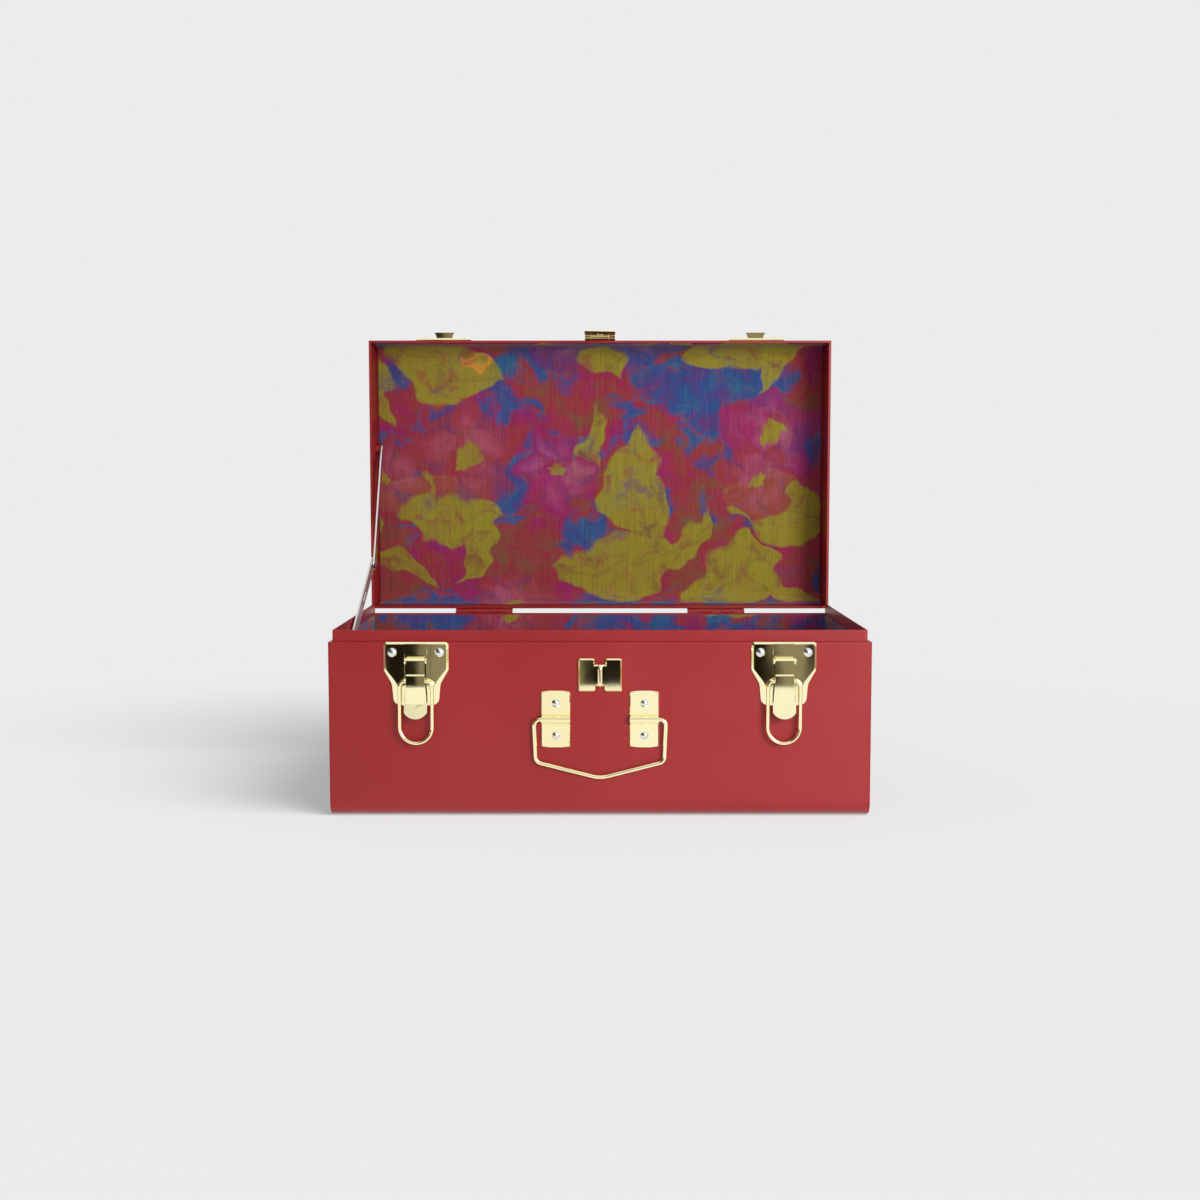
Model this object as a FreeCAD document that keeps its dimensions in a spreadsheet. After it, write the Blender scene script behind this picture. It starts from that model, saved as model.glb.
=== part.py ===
import FreeCAD, Part
import math
import os
import re
import Sketcher

# Storage trunk, lid open. Millimetres, +Z up, origin at the middle of the bottom, front towards -Y.
# The lid's pieces are drawn shut on the base and then turned open about the hinge pins.

SIZES = {
    # shell
    "trunk_width": 406,
    "trunk_depth": 236,
    "base_height": 132,
    "lid_height": 44,
    "lid_seat_gap": 0.4,
    "lid_opening": 90,
    "sheet_gauge": 1,
    "bend_radius": 12,
    "lip_width": 2.7,
    "lip_bend": 1.6,
    "collar_height": 8.6,
    "collar_gauge": 1,
    "collar_corner": 2,
    "collar_back_gap": 1.5,
    "lid_lip_width": 2.1,
    # lining boards
    "board_thickness": 2.7,
    "board_top_gap": 0.4,
    "board_bend_ease": 1,
    "lid_board_thickness": 1.5,
    "lid_board_side_gap": 1.5,
    "lid_board_turn": 2,
    "lid_board_rim_gap": 9.6,
    # hinges
    "running_clearance": 0.05,
    "hinge_inset": 100,
    "hinge_width": 50.6,
    "hinge_leaf_height": 22,
    "hinge_leaf_gauge": 1.2,
    "hinge_pin_radius": 1.25,
    "hinge_barrel_radius": 2.6,
    "hinge_standoff": 2.8,
    "hinge_rise": 1,
    "knuckle_gap": 0.4,
    "hinge_rivet_radius": 2.4,
    "hinge_rivet_height": 1,
    "hinge_rivet_pitch": 17,
    "hinge_rivet_drop": 13,
    # toggle latches
    "latch_inset": 65.7,
    "latch_plate_width": 48.5,
    "latch_plate_height": 47.4,
    "latch_shoulder": 20.7,
    "latch_shoulder_bend": 3,
    "latch_waist_width": 36.2,
    "latch_waist_drop": 31.4,
    "latch_waist_bend": 10,
    "latch_foot_width": 33.4,
    "latch_foot_radius": 5.5,
    "latch_top_radius": 2.5,
    "latch_plate_gauge": 2.4,
    "latch_skirt": 4.2,
    "plate_bevel": 1.5,
    "bridge_width": 16.6,
    "bridge_height": 8.2,
    "bridge_drop": 1.2,
    "bridge_gauge": 1,
    "channel_width": 17,
    "channel_depth": 1.2,
    "guide_width": 1.8,
    "guide_height": 15.2,
    "guide_gauge": 1.2,
    "guide_gap": 0.3,
    "lever_pin_drop": 14,
    "lever_pin_standoff": 4.2,
    "lever_pin_radius": 1.25,
    "lever_knuckle_radius": 2.7,
    "lever_width": 13.8,
    "lever_gauge": 1.4,
    "ear_gauge": 1.2,
    "ear_radius": 2.2,
    "ear_gap": 0.3,
    "tongue_width": 14,
    "tongue_foot_width": 16.7,
    "tongue_standoff": 4.7,
    "spade_width": 17.2,
    "spade_radius": 9.8,
    "spade_gauge": 1.6,
    "spade_rise": 0.5,
    "spade_root": 3,
    "spade_drop": 34.1,
    "spade_tilt": 20,
    "spade_dimple": 0.9,
    # wire loops of the latches and the catches that they hook on
    "bail_pivot_drop": 15,
    "bail_standoff": 5,
    "bail_wire_radius": 1.4,
    "bail_width": 27,
    "bail_reach": 46.6,
    "bail_corner": 4,
    "curl_radius": 3,
    "curl_drop": 4.6,
    "curl_rise": 5.4,
    "curl_round": 1.4,
    "catch_plate_height": 25,
    "catch_plate_gauge": 2.2,
    "catch_plate_gap": 0.6,
    "catch_corner": 8,
    "catch_root_width": 12.3,
    "catch_lip_width": 16.8,
    "catch_throat": 4,
    "catch_gauge": 1.4,
    "catch_lip_height": 5,
    "catch_play": 0.4,
    # dome rivets of the latches and catches
    "rivet_radius": 3.4,
    "rivet_height": 1.6,
    "rivet_spacing": 35.2,
    "latch_rivet_drop": 7.7,
    "catch_rivet_rise": 12,
    # carrying handle
    "handle_pivot_height": 73.8,
    "handle_spacing": 66.4,
    "handle_wire_radius": 1.6,
    "handle_standoff": 2.4,
    "handle_width": 102.3,
    "handle_toe_in": 1.4,
    "handle_shoulder_drop": 32,
    "handle_drop": 44.2,
    "handle_elbow": 4.5,
    "handle_bend": 5,
    "handle_belly_bend": 24,
    "handle_end_cover": 2,
    "bracket_width": 21.8,
    "bracket_height": 43.2,
    "bracket_crown": 0.9,
    "bracket_crown_width": 10,
    "bracket_crown_bend": 28,
    "bracket_corner": 1,
    "bracket_gauge": 1.5,
    "bracket_bevel": 0.6,
    "saddle_cover": 2.55,
    "saddle_crest": 3.8,
    "saddle_foot": 8,
    "saddle_round": 1.9,
    "handle_rivet_radius": 3,
    "handle_rivet_height": 1.5,
    "handle_rivet_spacing": 24.4,
    # padlock staple
    "staple_width": 32.6,
    "staple_height": 25,
    "staple_drop": 12.4,
    "staple_corner": 1.6,
    "staple_gauge": 2.2,
    "staple_bevel": 1,
    "notch_top_width": 8,
    "notch_top": 4.6,
    "notch_bottom_width": 7,
    "notch_bottom": 4,
    "rib_width": 3.4,
    "rib_height": 17.6,
    "rib_drop": 15.4,
    "rib_reach": 13,
    "rib_nose": 4,
    "rib_edge": 1.5,
    "eye_radius": 2.6,
    "eye_reach": 8.3,
    # hinged hasp
    "hasp_width": 26.6,
    "hasp_axis_rise": 6,
    "hasp_axis_standoff": 2.9,
    "hasp_pin_radius": 1.1,
    "hasp_barrel_radius": 2.5,
    "hasp_knuckle_width": 15,
    "hasp_leaf_height": 24,
    "hasp_leaf_gauge": 1.4,
    "hasp_rivet_rise": 15,
    "hasp_rivet_spacing": 15,
    "hasp_rivet_radius": 2.5,
    "hasp_rivet_height": 1.2,
    "strap_gauge": 2,
    "strap_standoff": 3.6,
    "strap_toe": 3.3,
    "slot_side_clearance": 0.7,
    "slot_end_clearance": 1.2,
    # folding stay
    "stay_arm_width": 11,
    "stay_arm_gauge": 1.5,
    "stay_wall_gap": 1.6,
    "stay_side_gap": 0.3,
    "stay_base_setback": 150.1,
    "stay_base_drop": 5.7,
    "stay_lid_rise": 144.2,
    "stay_lid_inset": 23.5,
    "stay_elbow_share": 0.5287,
    "stay_elbow_sag": 37.1,
    "stay_pin_radius": 2.4,
    "stay_head_radius": 4,
    "stay_head_height": 1.4,
    "stay_head_gap": 0.2,
    "stay_slot_width": 3.6,
    "stay_slot_length": 14,
    "stay_slot_share": 0.48,
    "stay_bracket_gauge": 1.2,
    "stay_bracket_width": 14,
    "stay_bracket_height": 22,
    "stay_base_bracket_top": 4,
    "stay_boss_radius": 5,
}

FRONT = "(-trunk_depth/2)"
BACK = "(trunk_depth/2)"
SIDE = "(trunk_width/2)"
BOARD_TOP = "(base_height - sheet_gauge - board_top_gap)"
BOARD_BEND = "(bend_radius - sheet_gauge + board_bend_ease)"
RIM = "(base_height + lid_seat_gap)"
LID_TOP = f"({RIM} + lid_height)"
HINGE_Y = "(trunk_depth/2 + hinge_standoff)"
HINGE_Z = "(base_height + hinge_rise)"
LEVER_PIN_Z = "(base_height - lever_pin_drop)"
BAIL_Z = f"({LEVER_PIN_Z} - bail_pivot_drop)"
BAIL_HALF = "(bail_width/2 - bail_wire_radius)"
HASP_Y = "(-trunk_depth/2 - hasp_axis_standoff)"
HASP_Z = f"({RIM} + hasp_axis_rise)"
RIB_TOP = "(base_height - rib_drop)"
RIB_FOOT = f"({RIB_TOP} - rib_height)"
INNER_WALL = "(-trunk_width/2 + lip_width + collar_gauge)"
LOWER_ARM_X = f"({INNER_WALL} + stay_wall_gap)"
UPPER_ARM_X = f"({LOWER_ARM_X} + stay_arm_gauge + stay_side_gap)"
STAY_BASE_Y = "(trunk_depth/2 - stay_base_setback)"
STAY_BASE_Z = "(base_height - stay_base_drop)"
STAY_LID_Y = "(trunk_depth/2 + hinge_standoff + lid_seat_gap - hinge_rise + stay_lid_inset)"
STAY_LID_Z = f"({HINGE_Z} + stay_lid_rise)"
STAY_RUN_Y = f"({STAY_LID_Y} - {STAY_BASE_Y})"
STAY_RUN_Z = f"({STAY_LID_Z} - {STAY_BASE_Z})"
STAY_RUN = f"sqrt({STAY_RUN_Y}^2 + {STAY_RUN_Z}^2)"
STAY_ELBOW_Y = f"({STAY_BASE_Y} + stay_elbow_share*{STAY_RUN_Y} + stay_elbow_sag*{STAY_RUN_Z}/{STAY_RUN})"
STAY_ELBOW_Z = f"({STAY_BASE_Z} + stay_elbow_share*{STAY_RUN_Z} - stay_elbow_sag*{STAY_RUN_Y}/{STAY_RUN})"

SIDES = {"left": -1, "right": 1}
X_AXIS = FreeCAD.Vector(1, 0, 0)
Y_AXIS = FreeCAD.Vector(0, 1, 0)
HINGE_KNUCKLES = 5

doc = FreeCAD.newDocument("storage_trunk")
sheet = doc.addObject("Spreadsheet::Sheet", "Sizes")
for row, (alias, value) in enumerate(SIZES.items(), start=1):
    sheet.set(f"A{row}", alias)
    sheet.set(f"B{row}", str(value))
    sheet.setAlias(f"B{row}", alias)
doc.recompute()
nodes = {}


def formula(text):
    """Point every named size in an expression at its cell."""
    return re.sub(r"[a-z_]+", lambda word: f"Sizes.{word[0]}" if word[0] in SIZES else word[0], text)


def number(text):
    """Work an expression out from the sheet."""
    value = sheet.evalExpression(formula(text))
    return float(getattr(value, "Value", value))


def vector(x, y, z):
    """Work out a point from three expressions."""
    return FreeCAD.Vector(number(x), number(y), number(z))


def place(solid, x, y, z):
    """Bind a solid's position to the sheet."""
    for axis, text in zip("xyz", (x, y, z)):
        solid.setExpression(f"Placement.Base.{axis}", formula(text))


def node(label, solid):
    """Name a finished sub-part."""
    solid.Label = label
    nodes[label] = solid
    return solid


def on_lid(solid):
    """Turn a piece that is drawn on the shut lid open about the hinge pins."""
    backwards = FreeCAD.Rotation(-X_AXIS, number("lid_opening"))
    solid.Placement = FreeCAD.Placement(FreeCAD.Vector(), backwards)
    turned_y = f"({HINGE_Y}*cos(lid_opening) + {HINGE_Z}*sin(lid_opening))"
    turned_z = f"({HINGE_Z}*cos(lid_opening) - {HINGE_Y}*sin(lid_opening))"
    solid.setExpression("Placement.Rotation.Angle", formula("lid_opening"))
    solid.setExpression("Placement.Base.y", formula(f"{HINGE_Y} - {turned_y}"))
    solid.setExpression("Placement.Base.z", formula(f"{HINGE_Z} - {turned_z}"))
    return solid


def box(x, y, z):
    """Make a block between low and high expressions on each axis."""
    block = doc.addObject("Part::Box", "block")
    for size, (low, high) in zip(("Length", "Width", "Height"), (x, y, z)):
        block.setExpression(size, formula(f"({high}) - ({low})"))
    place(block, x[0], y[0], z[0])
    return block


def rod(radius, x, y, z):
    """Make a round bar along X between two expressions."""
    bar = doc.addObject("Part::Cylinder", "bar")
    bar.setExpression("Radius", formula(radius))
    bar.setExpression("Height", formula(f"({x[1]}) - ({x[0]})"))
    bar.Placement = FreeCAD.Placement(FreeCAD.Vector(), FreeCAD.Rotation(Y_AXIS, 90))
    place(bar, x[0], y, z)
    return bar


def dome(radius, height, x, y, z, turn):
    """Make a rivet's domed head on a face that looks to the front, the back or the right."""
    ball = f"(({radius})^2 + ({height})^2)/(2*({height}))"
    sunk = f"({ball} - {height})"
    head = doc.addObject("Part::Sphere", "head")
    head.setExpression("Radius", formula(ball))
    head.setExpression("Angle1", formula(f"asin({sunk}/({ball}))"))
    axis, angle, offset = {
        "front": (X_AXIS, 90, (x, f"{y} + {sunk}", z)),
        "back": (X_AXIS, -90, (x, f"{y} - {sunk}", z)),
        "right": (Y_AXIS, 90, (f"{x} - {sunk}", y, z)),
    }[turn]
    head.Placement = FreeCAD.Placement(FreeCAD.Vector(), FreeCAD.Rotation(axis, angle))
    place(head, *offset)
    return head


def join(*solids):
    """Weld solids into one."""
    whole = doc.addObject("Part::MultiFuse", "whole")
    whole.Shapes = list(solids)
    whole.Refine = True
    return whole


def cut(base, *tools):
    """Take tools away from a solid."""
    rest = doc.addObject("Part::Cut", "rest")
    rest.Base = base
    rest.Tool = tools[0] if len(tools) == 1 else join(*tools)
    rest.Refine = True
    return rest


def group(label, solids):
    """Gather separate solids in one named sub-part."""
    gathered = doc.addObject("Part::Compound", label)
    gathered.Links = list(solids)
    return node(label, gathered)


def new_body(label):
    """Start a body for a pressed or moulded piece."""
    return doc.addObject("PartDesign::Body", label)


def extrude(body, plane, offset, corners, depth):
    """Pad a closed outline of bound corners from an origin plane."""
    support = next(part for part in body.Origin.OriginFeatures if part.Role == plane)
    sketch = body.newObject("Sketcher::SketchObject", body.Name + "_outline")
    sketch.AttachmentSupport = [(support, "")]
    sketch.MapMode = "FlatFace"
    sketch.setExpression("AttachmentOffset.Base.z", formula(offset))
    points = [FreeCAD.Vector(number(across), number(along), 0) for across, along in corners]
    count = len(points)
    for index, start in enumerate(points):
        sketch.addGeometry(Part.LineSegment(start, points[(index + 1) % count]))
    for index in range(count):
        sketch.addConstraint(Sketcher.Constraint("Coincident", index, 2, (index + 1) % count, 1))
    for index, corner in enumerate(corners):
        for kind, text in zip(("DistanceX", "DistanceY"), corner):
            constraint = sketch.addConstraint(Sketcher.Constraint(kind, -1, 1, index, 1, number(text)))
            sketch.setExpression(f"Constraints[{constraint}]", formula(text))
    pad = body.newObject("PartDesign::Pad", body.Name + "_pad")
    pad.Profile = sketch
    pad.setExpression("Length", formula(depth))


def edges_near(*spots):
    """Pick the edge nearest to each spot."""

    def pick(shape):
        ends = [Part.Vertex(vector(*spot)) for spot in spots]
        edges = range(len(shape.Edges))
        return [min(edges, key=lambda i: shape.Edges[i].distToShape(end)[0]) for end in ends]

    return pick


def edges_at_depth(y):
    """Pick every edge that lies in one plane across the depth."""

    def pick(shape):
        depth = number(y)
        spans = [(edge.BoundBox.YMin - depth, edge.BoundBox.YMax - depth) for edge in shape.Edges]
        return [i for i, (near, far) in enumerate(spans) if max(abs(near), abs(far)) < 1e-4]

    return pick


def ease(body, kind, size, pick):
    """Round or bevel the picked edges of a body."""
    doc.recompute()
    base = body.Tip
    feature = body.newObject(f"PartDesign::{kind}", body.Name + "_" + kind.lower())
    feature.Base = (base, [f"Edge{index + 1}" for index in pick(base.Shape)])
    feature.setExpression("Radius" if kind == "Fillet" else "Size", formula(size))


def rounded_run(corners, bends):
    """Draw straight runs that are joined by tangent bends."""
    edges = []
    end = corners[0]
    for before, corner, after, bend in zip(corners, corners[1:], corners[2:], bends):
        arriving = (corner - before).normalize()
        leaving = (after - corner).normalize()
        turn = arriving.getAngle(leaving)
        start = corner - arriving * (bend * math.tan(turn / 2))
        centre = corner + (leaving - arriving).normalize() * (bend / math.cos(turn / 2))
        middle = centre + (corner - centre).normalize() * bend
        finish = corner + leaving * (bend * math.tan(turn / 2))
        if (start - end).Length > 1e-6:
            edges.append(Part.LineSegment(end, start).toShape())
        edges.append(Part.Arc(start, middle, finish).toShape())
        end = finish
    edges.append(Part.LineSegment(end, corners[-1]).toShape())
    return Part.Wire(edges)


def bent_wire(label, corners, bends, radius):
    """Sweep a round wire along a rounded run."""
    section = Part.Circle(corners[0], corners[1] - corners[0], number(radius)).toShape()
    wire = doc.addObject("Part::Feature", label)
    wire.Shape = rounded_run(corners, bends).makePipeShell([Part.Wire([section])], True, False)
    return node(label, wire)


def pressing(centre, outlines):
    """Press a plate between outlines, each a depth and the corners of its right half from the top down."""
    wires = []
    for depth, flank in outlines:
        ring = [("0", flank[0][1], "0"), *flank]
        ring += [(f"-{half}", z, bend) for half, z, bend in reversed(flank)] + [ring[0]]
        corners = [vector(f"{centre} + {half}", depth, z) for half, z, bend in ring]
        wires.append(rounded_run(corners, [number(bend) for half, z, bend in ring[1:-1]]))
    plate = doc.addObject("Part::Feature", "pressing")
    plate.Shape = Part.makeLoft(wires, True, True)
    return plate


def bent_sheet(body, x, low, high, face, gauge, bend, turned_up):
    """Draw a channel of sheet whose web is at the high or low end and whose two flanges run front to back."""
    web, edge = (low, high) if turned_up else (high, low)
    inward = "+" if turned_up else "-"
    inner = f"({face}) - {gauge}"
    web_inner = f"({web}) {inward} {gauge}"
    corners = [
        (f"-({face})", edge),
        (f"-({face})", web),
        (face, web),
        (face, edge),
        (inner, edge),
        (inner, web_inner),
        (f"-({inner})", web_inner),
        (f"-({inner})", edge),
    ]
    extrude(body, "YZ_Plane", x[0], corners, f"({x[1]}) - ({x[0]})")
    ease(body, "Fillet", bend, edges_near(("0", f"-({face})", web), ("0", face, web)))
    tight = f"({bend}) - {gauge}"
    ease(body, "Fillet", tight, edges_near(("0", f"-({inner})", web_inner), ("0", inner, web_inner)))


def end_plate(body, x, low, high, face, bend, rounded):
    """Draw a flat end plate that is rounded where the shell bends."""
    corners = [(f"-({face})", low), (face, low), (face, high), (f"-({face})", high)]
    extrude(body, "YZ_Plane", x[0], corners, f"({x[1]}) - ({x[0]})")
    middle = f"(({x[0]}) + ({x[1]}))/2"
    ease(body, "Fillet", bend, edges_near((middle, f"-({face})", rounded), (middle, face, rounded)))


def build_base_shell():
    """Front, bottom and back in one bent sheet, two end panels and the collar that the lid closes over."""
    wrap = new_body("body_wrap")
    span = (f"sheet_gauge - {SIDE}", f"{SIDE} - sheet_gauge")
    bent_sheet(wrap, span, "0", "base_height", BACK, "sheet_gauge", "bend_radius", turned_up=True)
    lip = [
        (f"{FRONT} + sheet_gauge/2", "base_height - sheet_gauge"),
        (f"{FRONT} + lip_width", "base_height - sheet_gauge"),
        (f"{FRONT} + lip_width", "base_height"),
        (f"{FRONT} + sheet_gauge/2", "base_height"),
    ]
    extrude(wrap, "YZ_Plane", span[0], lip, f"{span[1]} - ({span[0]})")
    ease(wrap, "Fillet", "lip_bend", edges_near(("0", FRONT, "base_height")))
    node("body_wrap", wrap)

    for side, sign in SIDES.items():
        panel = new_body(f"end_panel_{side}")
        outer, inner, tip = f"{sign}*{SIDE}", f"{sign}*({SIDE} - sheet_gauge)", f"{sign}*({SIDE} - lip_width)"
        skin = (outer, inner) if sign < 0 else (inner, outer)
        end_plate(panel, skin, "0", "base_height", BACK, "bend_radius", "0")
        shelf = [
            (f"{FRONT} + lip_width", "base_height - sheet_gauge"),
            (f"{BACK} - sheet_gauge", "base_height - sheet_gauge"),
            (f"{BACK} - sheet_gauge", "base_height"),
            (f"{FRONT} + lip_width", "base_height"),
        ]
        extrude(panel, "YZ_Plane", inner if sign < 0 else tip, shelf, "lip_width - sheet_gauge")
        ease(panel, "Fillet", "lip_bend/2", edges_near((outer, "0", "base_height")))
        node(f"end_panel_{side}", panel)

    collar = new_body("rim_collar")
    outer_x, inner_x = f"({SIDE} - lip_width)", f"({SIDE} - lip_width - collar_gauge)"
    outer_y, inner_y = f"{FRONT} + lip_width", f"{FRONT} + lip_width + collar_gauge"
    end_y = f"{BACK} - sheet_gauge - collar_back_gap"
    corners = [
        (f"-{outer_x}", end_y),
        (f"-{outer_x}", outer_y),
        (outer_x, outer_y),
        (outer_x, end_y),
        (inner_x, end_y),
        (inner_x, inner_y),
        (f"-{inner_x}", inner_y),
        (f"-{inner_x}", end_y),
    ]
    extrude(collar, "XY_Plane", "base_height - sheet_gauge", corners, "collar_height + sheet_gauge")
    for reach_x, reach_y, corner in (
        (outer_x, outer_y, "collar_corner"),
        (inner_x, inner_y, "collar_corner - collar_gauge"),
    ):
        spots = [(f"{sign}*{reach_x}", reach_y, "base_height") for sign in SIDES.values()]
        ease(collar, "Fillet", corner, edges_near(*spots))
    node("rim_collar", collar)


def build_base_lining():
    """Covered boards inside the base: one bent round front, floor and back, and one at each end."""
    wrap = new_body("base_lining_wrap")
    reach = f"({SIDE} - sheet_gauge - board_thickness)"
    bent_sheet(
        wrap,
        (f"-{reach}", reach),
        "sheet_gauge",
        BOARD_TOP,
        f"{BACK} - sheet_gauge",
        "board_thickness",
        BOARD_BEND,
        turned_up=True,
    )
    node("base_lining_wrap", wrap)
    for side, sign in SIDES.items():
        board = new_body(f"base_lining_{side}")
        outer, inner = f"{sign}*({SIDE} - sheet_gauge)", f"{sign}*{reach}"
        skin = (outer, inner) if sign < 0 else (inner, outer)
        face = f"{BACK} - sheet_gauge"
        end_plate(board, skin, "sheet_gauge", BOARD_TOP, face, BOARD_BEND, "sheet_gauge")
        node(f"base_lining_{side}", board)


def build_lid_shell():
    """Front, top and back of the lid in one bent sheet, two ends and the covered board under the top."""
    wrap = new_body("lid_wrap")
    span = (f"sheet_gauge - {SIDE}", f"{SIDE} - sheet_gauge")
    bent_sheet(wrap, span, RIM, LID_TOP, BACK, "sheet_gauge", "bend_radius", turned_up=False)
    rim = (RIM, f"{RIM} + sheet_gauge")
    for wall, way in ((FRONT, "+"), (BACK, "-")):
        root, tip = f"{wall} {way} sheet_gauge/2", f"{wall} {way} lid_lip_width"
        hem = [(root, rim[0]), (tip, rim[0]), (tip, rim[1]), (root, rim[1])]
        extrude(wrap, "YZ_Plane", span[0], hem, f"{span[1]} - ({span[0]})")
    node("lid_wrap", on_lid(wrap))
    for side, sign in SIDES.items():
        panel = new_body(f"lid_end_{side}")
        outer, inner = f"{sign}*{SIDE}", f"{sign}*({SIDE} - sheet_gauge)"
        skin = (outer, inner) if sign < 0 else (inner, outer)
        end_plate(panel, skin, RIM, LID_TOP, BACK, "bend_radius", LID_TOP)
        near, far = f"{FRONT} + lid_lip_width", f"{BACK} - lid_lip_width"
        hem = [(near, rim[0]), (far, rim[0]), (far, rim[1]), (near, rim[1])]
        tip = f"{sign}*({SIDE} - lid_lip_width)"
        extrude(panel, "YZ_Plane", inner if sign < 0 else tip, hem, "lid_lip_width - sheet_gauge")
        node(f"lid_end_{side}", on_lid(panel))

    board = new_body("lid_board")
    reach = f"({SIDE} - sheet_gauge - lid_board_side_gap)"
    low_edge = f"{RIM} + lid_board_rim_gap"
    bent_sheet(
        board,
        (f"-{reach}", reach),
        low_edge,
        f"{LID_TOP} - sheet_gauge",
        f"{BACK} - sheet_gauge",
        "lid_board_thickness",
        BOARD_BEND,
        turned_up=False,
    )
    behind = (f"{BACK} - sheet_gauge - 2*lid_board_thickness", BACK)
    short_edge = f"{LID_TOP} - sheet_gauge - {BOARD_BEND} - lid_board_turn"
    spare = box((f"-{reach}", reach), behind, (low_edge, short_edge))
    node("lid_lining", on_lid(cut(board, spare)))


def hinge_leaf(centre, plate_z, own, other):
    """A leaf with its share of the knuckles, cut back round the other leaf's and bored for the pin."""
    left = f"({centre} - hinge_width/2)"
    pitch = f"hinge_width/{HINGE_KNUCKLES}"
    back = (BACK, f"{BACK} + hinge_leaf_gauge")
    plate = box((left, f"{left} + hinge_width"), back, plate_z)
    relief = "(hinge_barrel_radius + knuckle_gap)"
    notches = [
        box(
            (f"{left} + {k}*{pitch} - knuckle_gap/2", f"{left} + {k + 1}*{pitch} + knuckle_gap/2"),
            (f"{BACK} - hinge_leaf_gauge", f"{BACK} + 2*hinge_leaf_gauge"),
            (f"{HINGE_Z} - {relief}", f"{HINGE_Z} + {relief}"),
        )
        for k in other
    ]
    knuckles = [
        rod(
            "hinge_barrel_radius",
            (f"{left} + {k}*{pitch} + knuckle_gap/2", f"{left} + {k + 1}*{pitch} - knuckle_gap/2"),
            HINGE_Y,
            HINGE_Z,
        )
        for k in own
    ]
    bore = rod("hinge_pin_radius + running_clearance", (left, f"{left} + hinge_width"), HINGE_Y, HINGE_Z)
    return cut(join(cut(plate, *notches), *knuckles), bore)


def build_hinges():
    """Two butt hinges on the back: leaves, pins and rivet heads."""
    base_share = range(0, HINGE_KNUCKLES, 2)
    lid_share = range(1, HINGE_KNUCKLES, 2)
    pins = []
    base_heads = []
    lid_heads = []
    for side, sign in SIDES.items():
        centre = f"({sign}*({SIDE} - hinge_inset))"
        below = (f"{HINGE_Z} - hinge_leaf_height", HINGE_Z)
        above = (HINGE_Z, f"{HINGE_Z} + hinge_leaf_height")
        node(f"hinge_base_leaf_{side}", hinge_leaf(centre, below, base_share, lid_share))
        node(f"hinge_lid_leaf_{side}", on_lid(hinge_leaf(centre, above, lid_share, base_share)))
        ends = (f"{centre} - hinge_width/2", f"{centre} + hinge_width/2")
        pins.append(rod("hinge_pin_radius", ends, HINGE_Y, HINGE_Z))
        for step in (-1, 0, 1):
            for heads, way in ((base_heads, "-"), (lid_heads, "+")):
                spot = (
                    f"{centre} + {step}*hinge_rivet_pitch",
                    f"{BACK} + hinge_leaf_gauge",
                    f"{HINGE_Z} {way} hinge_rivet_drop",
                )
                heads.append(dome("hinge_rivet_radius", "hinge_rivet_height", *spot, "back"))
    group("hinge_pins", pins)
    group("hinge_base_rivets", base_heads)
    on_lid(group("hinge_lid_rivets", lid_heads))


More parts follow.
